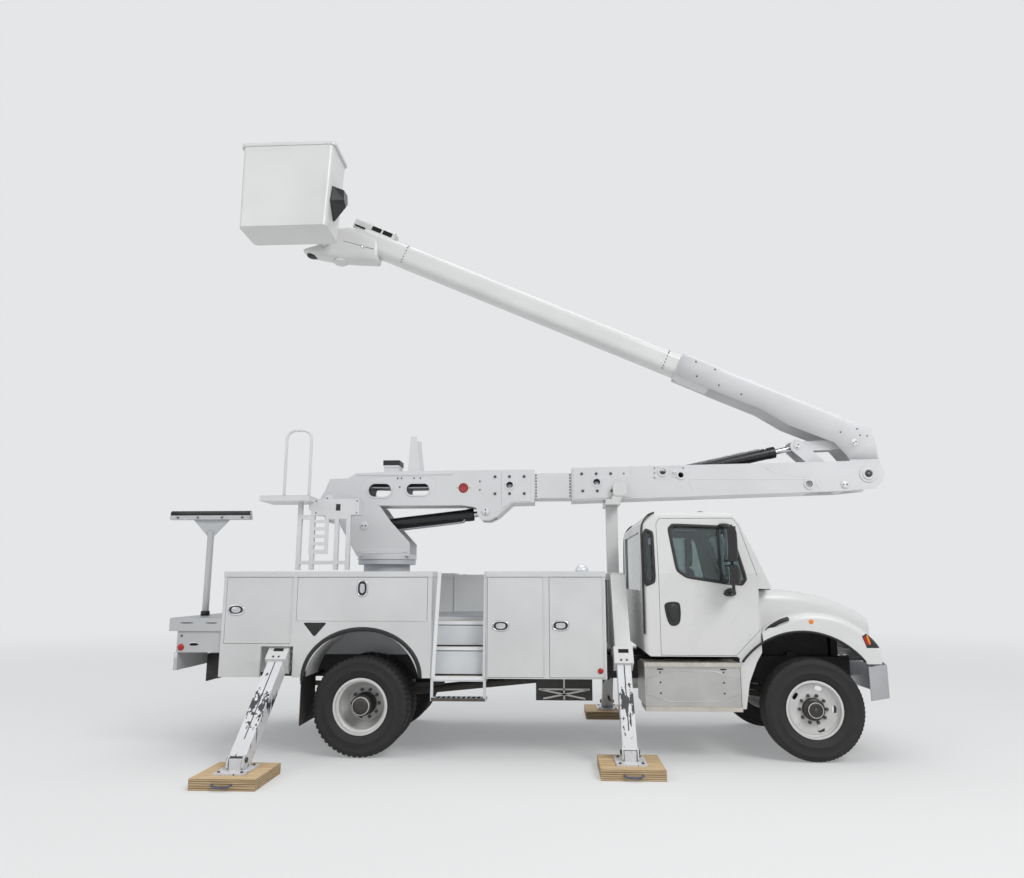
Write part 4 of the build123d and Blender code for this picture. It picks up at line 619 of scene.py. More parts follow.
# Headlamps: a dark moulded bowl with a bright reflector, and an amber and a red marker let into its
# outer end. They are bolted into the hood and tilt with it.
lamp_black = coated("lamp_black", (0.03, 0.03, 0.033), 0.3, 0.14, 0.2, 12, 0, 1, 0, 1, 0.006)[0]
dress(lamp_black, "headlamps")
red_lens = node_material("red_lens", (0.42, 0.012, 0.010), 0, 0.2)[0]
clear_lens = node_material("clear_lens", (0.72, 0.74, 0.76), 0.2, 0.12)[0]
for name, outer, material, outline in (
        ("lamp_marker", 1.1735, red_lens, ((0.536, 1.284), (0.560, 1.292), (0.592, 1.205), (0.575, 1.180))),
        ("lamp_turn", 1.1725, amber, ((0.566, 1.294), (0.588, 1.300), (0.616, 1.215), (0.600, 1.190)))):
    slab_pair(name, [eased(from_axle(outline, FRONT_AXLE), 2)], 1.160, outer, "hood", material)
for label, side in SIDES:
    turned("lamp_reflector_" + label, [(0.0, 0.02), (0.03, 0.042), (0.045, 0.05), (0.05, 0.045), (0.035, 0.03)],
           (FRONT_AXLE + 0.62, side * 0.98, 1.232), "hood", clear_lens, axis="x", steps=32)

# Bumper: a bright plated steel channel with swept ends, bolted to the rails, with the ears for the hood's
# hinge pins behind it. Its bolt heads stand in two rows on the face.
bright_steel = coated("bright_steel", (0.50, 0.51, 0.53), 0.9, 0.27, 0.12, 2, 0.06, 120, 0.35, 1.2, 0.006)[0]
dress(bright_steel, "bumper")
heads("bumper_bolts", [(3.974, y, z) for y in (-0.62, -0.38, 0.38, 0.62) for z in (0.70, 0.90)], (1, 0, 0), 0.016,
      0.008, "chassis", nut_steel)

# Step box: folded aluminium with two serrated treads. The face has two columns of rivets under two drain
# slots painted as black plates of shade, and the tank on the far side is a strapped aluminium shell.
plain_aluminium = coated("plain_aluminium", (0.50, 0.50, 0.49), 0.65, 0.42, 0.08, 4, 0.12, 160, 0.35, 1.0, 0.003)[0]


def serrated(name, base):
    """Tread metal: a grid of small raised teeth, from two crossed waves on Object coordinates."""
    material, tree, shader, _, place = coated(name, base, 0.7, 0.38, 0.12, 6, 0, 1, 0.3, 1.6, 0.002)
    waves = [node(tree, "TexWave", {"Scale": 9.5, "Vector": place}, bands_direction=axis)["Fac"] for axis in "XY"]
    feed(tree, shader, {"Normal": bump(tree, combined(tree, "MULTIPLY", *waves), 0.8, 0.004)})
    return material


tread_metal = serrated("tread_metal", (0.60, 0.57, 0.52))
dress(plain_aluminium, "step_box", "fuel_tank")
BOX_FACE = -1.150
teeth = np.arange(88)
for number, z, outer, deep in ((1000, 1.000, 1.166, 0.36), (545, 0.545, 1.181, 0.30)):
    lip = np.stack([np.linspace(1.265, 2.275, len(teeth)), -(outer + 0.004 * (teeth % 4 < 2))], -1)
    slab(f"step_tread_{number}", [np.concatenate([lip, [(2.275, deep - outer), (1.265, deep - outer)]])], "xy",
         z - 0.002, z + 0.006, "chassis", tread_metal, 0)
    carried(f"step_nose_{number}", [(x, -outer, z - 0.018) for x in (1.262, 2.278)], (0, -1, 0),
            ridge(0.018, 0.018, -0.01, 0.005), "chassis", tread_metal, smooth=False)
heads("step_rivets", [(x, BOX_FACE, z) for x in (1.43, 2.10) for z in (0.905, 0.80, 0.69)], (0, -1, 0), 0.010, 0.006,
      "chassis", nut_steel, 12)
# The drain slots are black plates of painted shade.
slab("drain_slots", [eased(rectangle(x - 0.036, x + 0.036, 0.928, 0.944), 2) for x in (1.43, 2.10)], "xz",
     BOX_FACE - 0.002, BOX_FACE + 0.002, "chassis", black_plastic, 0)
carried("step_panel_edge", on_plane(eased(rectangle(1.285, 2.255, 0.60, 0.915), 1), BOX_FACE), (0, -1, 0),
        ridge(0.006, 0.003, -0.002, 0.003), "chassis", plain_aluminium, True)
strap = eased([(0.468, 0.508), (1.112, 0.508), (1.112, 0.972), (0.468, 0.972)], 3)
for x in (1.47, 2.07):
    carried(f"tank_strap_{round(x * 100)}", np.insert(strap, 0, x, 1), (1, 0, 0), ridge(0.003, 0.003, -0.028, 0.028),
            "chassis", nut_steel, True, False)
turned("tank_cap", [(-0.004, 0.03), (-0.004, 0.055), (0.02, 0.058), (0.035, 0.05), (0.04, 0.02)], (1.70, 0.66, 0.970),
       "chassis", nut_steel, axis="z", steps=32)

# Line body: folded galvanised sheet, welded and sprayed white, with a channel rim round the top. Its white is a greyer
# copy of the cab's: painted shade.
# Doors hang on full-length hinge pins, with plated paddle latches, and a black reflector below.
# The body's white is darker than the cab's enamel to paint the shade that the packs stand in.
body_white = coated("body_white", (0.66, 0.665, 0.665), 0, 0.4, 0.05, 1.8, 0.05, 500, 0.3, 1.6, 0.004)[0]
chrome = coated("chrome", (0.62, 0.62, 0.64), 1.0, 0.16, 0.08, 9, 0.03, 300, 0.1, 1.0, 0.002)[0]
# A flat near-black: painted shade in holes, slots and recesses, and the dark line of the tip's seam.
shadow_black = node_material("shadow_black", (0.006, 0.006, 0.006), 0, 0.9)[0]
dress(body_white, "side_packs", *[door + label for door in ("rear_door_", "top_door_", "front_door_a_",
                                                            "front_door_b_") for label, _ in SIDES])
DOOR_FACE = 1.219


def latch(name, x, z, width, height, side, body):
    """A recessed paddle latch: a plated oval bezel, a dark cup inside it and a plated paddle with a lock."""
    face = side * DOOR_FACE
    upright = height > width
    reach = width * (0.5 if upright else 0.62) / 2
    loop = eased(rectangle(x - width / 2, x + width / 2, z - height / 2, z + height / 2), 3)
    paddle = eased(rectangle(x - reach, x + reach, z - height * 0.30, z + height * 0.30), 2)
    lock = (x, face + side * 0.001, z - height * 0.34) if upright else (x - width * 0.33, face + side * 0.001, z)
    carried(name + "_bezel", on_plane(loop, face), (0, side, 0), ridge(0.010, 0.006, -0.002, 0.007), body, chrome, True)
    slab(name + "_cup", [loop], "xz", face - side * 0.001, face + side * 0.0015, body, black_plastic, 0)
    slab(name + "_paddle", [paddle], "xz", face, face + side * 0.006, body, chrome, 0.002, True)
    heads(name + "_lock", [lock], (0, side, 0), 0.010, 0.006, body, nut_steel, 16)


for label, side in SIDES:
    for name, station, z, width, height, body in (("rear_latch_", -1.415, 1.55, 0.17, 0.10, "rear_door_"),
                                                  ("top_latch_", -0.005, 1.785, 0.11, 0.17, "top_door_"),
                                                  ("front_latch_a_", 1.53, 1.385, 0.17, 0.10, "front_door_a_"),
                                                  ("front_latch_b_", 2.18, 1.390, 0.17, 0.10, "front_door_b_")):
        latch(name + label, REAR_AXLE + station, z, width, height, side, body + label)
slab_pair("reflector", [from_axle([(-0.645, 1.405), (-0.530, 1.272), (-0.510, 1.272), (-0.395, 1.405),
                                   (-0.405, 1.415), (-0.635, 1.415)])], 1.218, 1.2205, "chassis", black_rubber, 0)
turn = np.linspace(0, np.pi, 61)
carried_pair("arch_lip", on_plane(np.stack([REAR_AXLE + 0.012 + 0.640 * np.cos(turn), 0.834 + 0.510 * np.sin(turn)],
                                           -1), 1.2165),
             [(-0.022, -0.030), (0.020, -0.030), (0.026, 0.004), (0.010, 0.012), (-0.018, 0.010)], "chassis",
             black_rubber)
turned_pair("side_marker", ((1.217, 0.0), (1.217, 0.030), (1.224, 0.030), (1.230, 0.020), (1.2325, 0.005)),
            (REAR_AXLE + 2.60, 0.92), "chassis", red_lens, 24)
heads_pair("hinge_screws", from_axle([(x, 1.220, z) for x in (-0.757, 2.032, 2.651)
                                      for z in np.arange(1.0, 1.9, 0.11)]), 0.005, 0.002, "chassis", body_white, 8)
slab_pair("vent_slots", [eased(from_axle(rectangle(-1.27 + 0.03 * k, -1.255 + 0.03 * k, 0.93, 1.00)), 2)
                         for k in range(4)], 1.2185, 1.2200, "chassis", body_white, 0)
turned("dome_lamp", [(-0.004, 0.05), (-0.004, 0.072), (0.018, 0.072), (0.03, 0.066), (0.062, 0.050), (0.078, 0.02)],
       (REAR_AXLE + 2.42, -1.15, 1.970), "chassis", clear_lens, axis="z", steps=32)
rivets = [*np.arange(REAR_AXLE - 1.5, REAR_AXLE + 0.75, 0.25), *np.arange(REAR_AXLE + 1.45, REAR_AXLE + 2.65, 0.25)]
heads("rim_rivets", [(x, side * 1.2265, 1.94) for _, side in SIDES for x in rivets], (0, 1, 0), 0.006, 0.003,
      "chassis", body_white, 8)

# Deck and access steps: grey raised-pattern plate on sills, with white side strips, punched treads and a
# hanging grip step below. A gate closes the far side, and a rack for wheel chocks hangs under the near one.
deck_grey = serrated("deck_grey", (0.33, 0.345, 0.36))
# A brighter copy of the body's white, painted light on the pack's lit front fold; the tread noses share it.
strip_white = coated("strip_white", (0.80, 0.80, 0.80), 0, 0.35, 0.03, 3, 0.03, 500, 0.15, 1.2, 0.003)[0]
deck_paint = coated("deck_paint", (0.62, 0.64, 0.66), 0.05, 0.45, 0.10, 1.6, 0.15, 260, 0.2, 1.6, 0.004)[0]
dress(deck_paint, "deck")
DECK_PLATE = (1.4585, 1.4625)
STEP_EDGE = 1.199
STEP_RISE = 0.090
for k, (z, riser_z, riser_height) in enumerate(((0.850, 0.868, 0.24), (1.150, 1.168, 0.21), (1.420, 1.440, 0.02))):
    number = round(z * 1000)
    edge = STEP_EDGE - STEP_RISE * k
    for label, side in SIDES:
        slab(f"tread_{number}_{label}", [from_axle(rectangle(0.785, 1.355, *sorted((side * (edge - 0.005),
             side * 0.725))))], "xy", z - 0.001, z + 0.004, "chassis", tread_metal, 0)
    carried_pair(f"tread_nose_{number}", from_axle([(0.783, edge, z - 0.014), (1.357, edge, z - 0.014)]),
                 ridge(0.019, 0.019, -0.004, 0.004), "chassis", strip_white, False, False)
    slab_pair(f"riser_{k}", [from_axle(rectangle(0.785, 1.355, riser_z, riser_z + riser_height))],
              edge - STEP_RISE - 0.003, edge - STEP_RISE + 0.001, "chassis", deck_paint, 0.001)
for name, inner, outer, material, strip in (
        ("step_strip_rear", 1.190, 1.214, strip_white,
         ((0.775, 0.836), (0.815, 0.836), (0.872, 1.965), (0.832, 1.965))),
        ("step_strip_front", 1.194, 1.212, body_white,
         ((1.333, 0.836), (1.368, 0.836), (1.368, 1.965), (1.345, 1.965)))):
    slab_pair(name, [from_axle(strip)], inner, outer, "chassis", material, 0.003)
# The holes punched in the grip step are black plates of painted shade.
for label, side in SIDES:
    slab("grip_holes_" + label, [eased(from_axle(rectangle(0.83 + 0.055 * k, 0.86 + 0.055 * k, *sorted((side * 1.16,
         side * 1.03)))), 2) for k in range(9)], "xy", 0.6195, 0.6225, "chassis", shadow_black, 0)
teeth = np.arange(48)
grip = np.stack([np.linspace(0.78, 1.36, len(teeth)), 0.626 + 0.006 * (teeth % 4 < 2)], -1)
slab_pair("grip_edge", [from_axle(np.concatenate([grip, [(1.36, 0.597), (0.78, 0.597)]]))], 1.196, 1.203, "chassis",
          cast_iron, 0)
slab("far_gate", [from_axle(rectangle(0.775, 1.365, 1.463, 1.952))], "xz", 0.690, 0.702, "chassis", body_white, 0.003)
slab("gate_frame", [from_axle(rectangle(x, x + 0.025, 1.462, 1.955)) for x in (0.772, 1.343)], "xz", 0.680, 0.712,
     "chassis", body_white, 0.003)
for k, ends in enumerate((((1.93, 0.675), (2.50, 0.675)), ((1.96, 0.67), (2.45, 0.575)), ((2.47, 0.67), (1.98, 0.575)),
                          ((2.215, 0.795), (2.215, 0.565)))):
    carried(f"chock_bar_{k}", on_plane(from_axle(ends), -0.8), (0, -1, 0), ridge(0.009, 0.009, -0.002, 0.008),
            "chassis", plain_aluminium, smooth=False)
half_plate = [(-1.555, 0.672), (-1.010, 0.672), (-1.010, 0.512), (-0.810, 0.512), (-0.810, 0.672), (-0.40, 0.672)]
slab("deck_plates", [from_axle(outline) for outline in (
     [(x, -y) for x, y in half_plate] + half_plate[::-1], rectangle(0.40, 2.632, -0.672, 0.672),
     rectangle(-0.395, 0.395, -0.672, -0.395), rectangle(-0.395, 0.395, 0.395, 0.672))], "xy", *DECK_PLATE, "chassis",
     deck_grey, 0)

# Tail: a plated shelf over a lamp box with an oval pull, a row of lamps, a drawbar hook in the frame, and
# the T-shaped rest, whose bar carries a rubber tube that the folded bucket lies on.
shelf_white = coated("shelf_white", (0.52, 0.53, 0.54), 0.05, 0.42, 0.06, 1.8, 0.1, 400, 0.35, 1.8, 0.004)[0]
dress(shelf_white, "tail_shelf")
slab("shelf_plate", [from_axle(rectangle(-2.155, -1.575, -1.212, 1.212))], "xy", *DECK_PLATE, "chassis", deck_grey, 0)
pull = eased(from_axle(rectangle(-1.93, -1.82, 1.155, 1.195)), 3)
# The shelf's slots and the pull's cup are black plates of painted shade.
slab_pair("shelf_slots", [eased(from_axle(rectangle(x, x + width, 1.403, 1.413)), 1)
                          for x, width in ((-2.04, 0.15), (-1.75, 0.13))], 1.2185, 1.2198, "chassis", shadow_black, 0)
slab_pair("pull_cup", [pull], 1.1985, 1.2000, "chassis", shadow_black, 0)
carried_pair("pull_rim", on_plane(pull, 1.199), ridge(0.006, 0.003, -0.002, 0.005), "chassis", chrome, True)
turned_pair("tail_marker", ((1.198, 0.0), (1.198, 0.036), (1.206, 0.036), (1.214, 0.026), (1.2165, 0.006)),
            (REAR_AXLE - 2.02, 1.145), "chassis", red_lens, 28)
turned_pair("tail_knob", ((1.198, 0.0), (1.198, 0.012), (1.208, 0.010), (1.2095, 0.003)), (REAR_AXLE - 2.02, 1.268),
            "chassis", black_plastic, 16)
slab_pair("lamp_side", [from_axle(rectangle(-2.085, -2.055, 1.03, 1.085))], 1.198, 1.2035, "chassis", clear_lens)
for label, side in SIDES:
    for k, lens in enumerate((red_lens, red_lens, clear_lens)):
        for name, material, profile in (
                ("rear_lamp", lens, ((0.001, 0.0), (0.001, 0.058), (-0.010, 0.058), (-0.020, 0.045), (-0.025, 0.01))),
                ("rear_lamp_ring", black_rubber, ((0.001, 0.056), (0.001, 0.068), (-0.008, 0.066), (-0.010, 0.057)))):
            turned(f"{name}_{k}_{label}", profile, (REAR_AXLE - 2.090, side * (1.08 - 0.20 * k), 0.995), "chassis",
                   material, axis="x", steps=32)
slab("tailboard", [rectangle(-0.50, 0.50, 1.12, 1.29)], "yz", REAR_AXLE - 2.074, REAR_AXLE - 2.068, "chassis",
     shelf_white, 0.003)
carried("rest_rubber", from_axle([(x, -0.6, 2.672) for x in (-2.549, -2.3, -1.80, -1.561)]), (0, 0, 1),
        disc(0.0355, 24), "chassis", black_rubber)
turned("rest_foot", [(-0.002, 0.03), (-0.002, 0.052), (0.05, 0.050), (0.058, 0.041), (0.060, 0.03)],
       (REAR_AXLE - 2.045, -0.6, 1.460), "chassis", black_rubber, axis="z", steps=32)
heads("rest_bolts", from_axle([(x, -0.652, 2.625) for x in (-2.45, -2.2, -1.9, -1.65)]), (0, -1, 0), 0.012, 0.008,
      "chassis", nut_steel)
turned("hook_eye_pin", [(-0.045, 0.0), (-0.045, 0.016), (0.045, 0.016), (0.045, 0.0)],
       (REAR_AXLE - 2.118, 0, 0.80), "chassis", nut_steel, steps=20)

# Outriggers: square tube legs that slide out of sleeves fixed to the body, sprayed white and rubbed to
# black grease and bare steel where they run. A slotted collar closes each sleeve, and pads are layered wood.


def rubbed(name, base, low, high, lean):
    """White paint with dark wipes between two heights: a noise drawn out along the leg is cut to ragged
    patches, and the cut fades out towards both heights. Lean slants the wipes with the leg's fall."""
    material, tree, shader, colour, place = coated(name, base, 0, 0.36, 0.04, 2.5, 0.05, 400, 0.2, 0.8, 0.004)
    stretched = node(tree, "Mapping", {"Scale": (9, 7, 1.6), "Rotation": (lean, 0, 0), "Vector": place})["Vector"]
    height = part_of(tree, place, "Z")
    middle = (low + high) / 2
    rising = mapped(tree, height, 0.62, 0.44, low, middle)
    cut = combined(tree, "ADD", rising, mapped(tree, height, 0, 0.2, middle, high))
    ragged = combined(tree, "GREATER_THAN", noise(tree, stretched, 2.2, 9, 0.62), cut)
    feed(tree, shader, {"Base Color": mixed(tree, ragged, colour, (0.035, 0.038, 0.045, 1))})
    return material


rear_leg_paint = rubbed("rear_leg_paint", (0.72, 0.725, 0.74), 0.45, 0.80, 0.9)
front_leg_paint = rubbed("front_leg_paint", (0.72, 0.725, 0.74), 0.35, 0.85, 0.4)
dress(rear_leg_paint, "rear_leg_left", "rear_leg_right")
dress(front_leg_paint, "front_leg_left", "front_leg_right")
dress(white_enamel, "outrigger_frames")
# Each leg's name, station, (y, z) of its upper and lower end on the right side, width and sleeve length.
LEGS = (("rear", -0.910, (-0.620, 1.500), (-2.180, 0.120), 0.190, 0.830),
        ("front", 2.850, (-0.640, 1.900), (-1.640, 0.120), 0.170, 1.080))
across_x = np.array((1.0, 0, 0))
for label, side in SIDES:
    for leg, station, top, foot, width, sleeve in LEGS:
        x = REAR_AXLE + station
        body = f"{leg}_leg_{label}"
        foot_y = -side * foot[0]
        mirror = np.array((1, -side, 1))
        start = np.array((x, *top))
        fall = np.array((0, foot[0] - top[0], foot[1] - top[1]))
        reach = np.linalg.norm(fall)
        down = fall / reach
        outward = np.cross(down, across_x)
        outward *= -1 if outward[1] > 0 else 1
        face = start + outward * (width + 0.036) / 2
        slot = (face + down * (sleeve - 0.135) + np.outer((-0.055, 0.055), across_x)) * mirror
        bolts = (face + down * (sleeve - 0.035) + np.outer((-0.03, 0.03), across_x)) * mirror
        groove = (start + outward * (width / 2 - 0.0123) + np.outer((sleeve + 0.010, reach - 0.26), down)) * mirror
        # The collar's slot is a black strip of painted shade.
        carried(f"{leg}_collar_slot_{label}", slot, outward * mirror, ridge(0.022, 0.022, -0.002, 0.001), "chassis",
                shadow_black, smooth=False)
        heads(f"{leg}_collar_bolts_{label}", bolts, outward * mirror, 0.013, 0.008, "chassis", nut_steel)
        carried(f"{leg}_leg_groove_{label}", groove, outward * mirror, ridge(0.006, 0.006, -0.002, 0.0002), body,
                cast_iron, smooth=False)
        ear = np.array([(-0.075, 0.117), (0.075, 0.117), (0.060, 0.205), (0.03, 0.238), (-0.03, 0.238),
                        (-0.060, 0.205)]) * (-side, 1) + (foot_y, 0)
        for letter, ear_x in (("a", -0.081), ("b", 0.068)):
            slab(f"{leg}_foot_ear_{letter}_{label}", [eased(ear, 1)], "yz", x + ear_x, x + ear_x + 0.013, body,
                 front_leg_paint)
        turned(f"{leg}_foot_pin_{label}", [(-0.098, 0.0), (-0.098, 0.022), (-0.090, 0.024), (0.090, 0.024),
               (0.098, 0.022), (0.098, 0.0)], (x, foot_y, 0.195), body, nut_steel, axis="x", steps=24)
        heads(f"{leg}_foot_nuts_{label}", [(x + dx, foot_y + dy, 0.116) for dx in (-0.11, 0.11)
              for dy in (-0.15, 0.15)], (0, 0, 1), 0.015, 0.012, body, nut_steel)

timber, tree, shader = node_material("timber", (0.52, 0.36, 0.19), 0, 0.7)
place = node(tree, "TexCoord", {})["Object"]
stretched = node(tree, "Mapping", {"Scale": (1.5, 22, 60), "Vector": place})["Vector"]
ramp = node(tree, "ValToRGB", {"Fac": noise(tree, stretched, 2.0, 7)})["Color"]
for stop, position, colour in zip(ramp.node.color_ramp.elements, (0.34, 0.64), ((0.42, 0.27, 0.13, 1),
                                                                                (0.72, 0.55, 0.33, 1))):
    stop.position = position
    stop.color = colour
plies = node(tree, "TexWave", {"Scale": 16, "Distortion": 0.6, "Vector": place}, bands_direction="Z")["Fac"]
is_side = combined(tree, "LESS_THAN", part_of(tree, node(tree, "NewGeometry", {})["Normal"], "Z"), 0.5)
edge_colour = scaled(tree, ramp, mapped(tree, plies, 0.38, 0.95))
feed(tree, shader, {"Base Color": mixed(tree, is_side, ramp, edge_colour)})
dress(timber, "outrigger_pads")
rope_tan = coated("rope_tan", (0.10, 0.11, 0.16), 0, 0.8, 0.4, 60, 0.6, 300, 0, 1, 0.001)[0]
bow = np.linspace(0, np.pi, 15)
for leg, station, _, foot, _, _ in LEGS:
    rope = np.stack([REAR_AXLE + station + 0.09 * np.cos(bow), 0.330 - foot[0] + 0.004 + 0.035 * np.sin(bow),
                     0.055 - 0.02 * np.sin(bow)], -1)
    carried_pair(leg + "_pad_rope", rope, disc(0.010, 8), "chassis", rope_tan, normal=(0, 0, 1))

# Turret and access platform: welded plate on a slewing bearing whose bolts show round its rim, with bar
# grating on the platform and a blind cover box beside the boom.
boom_white = coated("boom_white", (0.70, 0.705, 0.715), 0, 0.30, 0.05, 1.2, 0.04, 500, 0.08, 4, 0.005)[0]
dress(boom_white, "turret", "access_platform", "lower_boom", "boom_insert")
circle = disc(0.325, 30)
heads("bearing_bolts", from_axle(np.insert(circle, 2, 2.128, 1)), (0, 0, -1), 0.015, 0.014, "chassis", nut_steel)
turned("bearing_race", [(-0.020, 0.0), (-0.020, 0.312), (-0.016, 0.316), (0.016, 0.316), (0.020, 0.312), (0.020, 0.0)],
       (REAR_AXLE, 0, 2.105), "chassis", cast_iron, axis="z", steps=96)


def pin_caps(name, station, z, face, radius, body, spread, bolt=0.010):
    """Keeper plates over both ends of a pin: a low turned disc with a chamfered rim and two bolts across it."""
    for label, side in SIDES:
        x = REAR_AXLE + station
        out = side * face
        turned(f"{name}_{label}", [(out - side * 0.004, 0.0), (out - side * 0.004, radius), (out + side * 0.007,
               radius), (out + side * 0.010, radius - 0.004), (out + side * 0.010, 0.0)], (x, 0, z), body,
               boom_white, steps=40)
        heads(f"{name}_{label}_bolts", [(x + k * spread[0], out + side * 0.009, z + k * spread[1]) for k in (-1, 1)],
              (0, side, 0), bolt, 0.009, body, nut_steel)


pin_caps("turret_pin", -0.700, 2.880, 0.272, 0.060, "turret", (0.024, -0.010))
pin_caps("lift_base_pin", -0.250, 2.545, 0.258, 0.052, "turret", (0.022, 0))
slab_pair("turret_foot_flange", [eased(from_axle(rectangle(-0.33, 0.30, 2.20, 2.26)), 1)], 0.255, 0.264, "turret",
          boom_white)
slab("cover_window", [from_axle(rectangle(-0.472, -0.418, 2.690, 2.768))], "xz", -0.7625, -0.7585, "turret",
     black_plastic, 0.001)
heads("cover_screws", from_axle([(x, -0.7605, z) for x in (-0.71, -0.22) for z in (2.665, 2.805)]), (0, -1, 0),
      0.008, 0.004, "turret", nut_steel, 12)
bars = [from_axle(rectangle(-1.320, -0.750, y, y + 0.005)) for y in np.arange(-0.940, -0.489, 0.030)]
bars += [rectangle(x, x + 0.005, -0.943, -0.487) for x in np.arange(REAR_AXLE - 1.31, REAR_AXLE - 0.75, 0.060)]
slab("grating_bars", bars, "xy", 2.846, 2.8545, "turret", plain_aluminium, 0)

# Lower boom: two welded box beams spliced by an insert. Splice bolts stand in rows, red plugs close the
# sheave holes, weld beads edge the doublers, and hoses run through the beams behind the open slots.
plug_red = coated("plug_red", (0.33, 0.035, 0.03), 0, 0.5, 0.15, 9, 0.1, 300, 0, 1, 0.001)[0]
WALL = 0.220
DOUBLER = 0.226
for name, radius, height, spots in (
        ("splice_bolts", 0.019, 0.012,
         [(x, WALL if x < 1.5 else DOUBLER, z) for z in (3.157, 2.942) for x in (1.387, 1.570, 1.754)]
         + [(x, DOUBLER, z) for z, xs in ((3.185, (2.474, 2.655, 2.835)), (2.970, (2.485, 2.665, 2.845))) for x in xs]),
        ("small_bolts", 0.011, 0.007,
         [(x, DOUBLER if x > 2 else WALL, z) for x, z in ((1.196, 3.100), (1.196, 2.992), (2.998, 3.185),
          (0.150, 3.145), (0.200, 3.145), (0.360, 3.145), (0.440, 3.145), (0.180, 3.035))]),
        ("insert_bolts", 0.010, 0.008, [(x, 0.198, z) for x in (1.902, 2.327) for z in np.linspace(2.910, 3.175, 8)]),
        ("window_bolts", 0.008, 0.006, [(x, 0.2215, z) for x in (3.380, 3.734) for z in (3.130, 3.190, 3.250)])):
    heads_pair(name, from_axle(spots), radius, height, "lower_boom")
heads_pair("plug_screws", from_axle([(0.988 + k * 0.082, WALL, 3.018) for k in (-1, 1)]), 0.006, 0.004, "lower_boom",
           nut_steel, 8)
lip = from_axle([(-0.40, 3.184), (0.80, 3.186), (0.85, 3.186), (0.85, 3.212), (0.80, 3.216), (-0.36, 3.208)])
slab_pair("boom_lip", [eased(lip, 2)], 0.218, 0.2275, "lower_boom", boom_white)
slab_pair("window_plate", [from_axle(rectangle(*sides)) for sides in (
          (3.362, 3.752, 3.112, 3.122), (3.362, 3.752, 3.258, 3.268), (3.362, 3.372, 3.124, 3.256),
          (3.742, 3.752, 3.124, 3.256))], 0.219, 0.2225, "lower_boom", boom_white, 0.001)
for k, bead in enumerate((
        ((3.90, 3.262), (3.82, 3.235), (3.79, 3.150), (3.80, 3.050), (3.85, 2.975)),
        ((3.80, 3.106), (4.40, 3.106), (5.20, 3.106), (5.33, 3.080), (5.38, 2.975)),
        ((4.74, 3.262), (4.80, 3.200), (5.00, 3.160), (5.22, 3.125)),
        ((0.62, 2.915), (0.66, 3.130), (0.55, 3.172), (-0.20, 3.172), (-0.30, 3.130), (-0.32, 2.98)))):
    carried_pair(f"weld_bead_{k}", eased(on_plane(from_axle(bead), WALL), 3, False), [(-0.006, -0.002),
                 (-0.004, 0.0022), (0, 0.0034), (0.004, 0.0022), (0.006, -0.002)], "lower_boom", boom_white)
pin_caps("lift_eye_pin", 1.270, 2.720, DOUBLER, 0.046, "lower_boom", (0, 0.022), 0.009)
pin_caps("lever_pin", 5.690, 3.030, DOUBLER, 0.046, "lower_boom", (0.020, 0), 0.009)
pin_caps("elbow_base_pin", 3.620, 3.190, DOUBLER, 0.024, "lower_boom", (0.011, 0), 0.005)
for name, x, z, material, steps, profile in (
        ("red_plug", 0.988, 3.018, plug_red, 48,
         ((0.218, 0.0), (0.218, 0.062), (0.223, 0.062), (0.2265, 0.057), (0.2265, 0.040), (0.2235, 0.036),
          (0.2235, 0.0))),
        ("elbow_ring", 5.980, 3.160, boom_white, 56,
         ((0.230, 0.030), (0.230, 0.074), (0.240, 0.074), (0.244, 0.070), (0.244, 0.052), (0.238, 0.046),
          (0.2335, 0.045), (0.2335, 0.030))),
        ("elbow_nut", 5.980, 3.160, nut_steel, 40,
         ((0.231, 0.0), (0.231, 0.040), (0.240, 0.040), (0.240, 0.022), (0.248, 0.022), (0.250, 0.018), (0.250, 0.0))),
        ("lever_window", 5.180, 3.010, cast_iron, 32,
         ((0.186, 0.0), (0.186, 0.046), (0.192, 0.046), (0.192, 0.030), (0.188, 0.028), (0.188, 0.0))),
        *((f"latch_bar_{k}", x, z - 0.014, bright_steel, 32,
           ((0.120, 0.0), (0.120, 0.044), (0.176, 0.040), (0.182, 0.030), (0.184, 0.0)))
          for k, x, z in ((0, 1.570, 3.050), (1, 2.660, 3.080)))):
    turned_pair(name, profile, (REAR_AXLE + x, z), "lower_boom", material, steps)
slab("rest_rubber", [from_axle(rectangle(-0.063, 0.153, 3.325, 3.393))], "xz", -0.133, 0.133, "lower_boom",
     black_rubber, 0.006)
for k, (y, z) in enumerate(((-0.13, 3.045), (-0.09, 3.085), (0.11, 3.050), (0.14, 3.090))):
    hose = from_axle([(-0.34, y, z), (0.2, y, z - 0.012), (0.8, y, z - 0.004), (1.35, y, z)])
    carried(f"inner_hose_{k}", eased(hose, 3, False), (0, 0, 1), disc(0.017), "lower_boom",
            black_rubber if k % 2 else bright_steel)

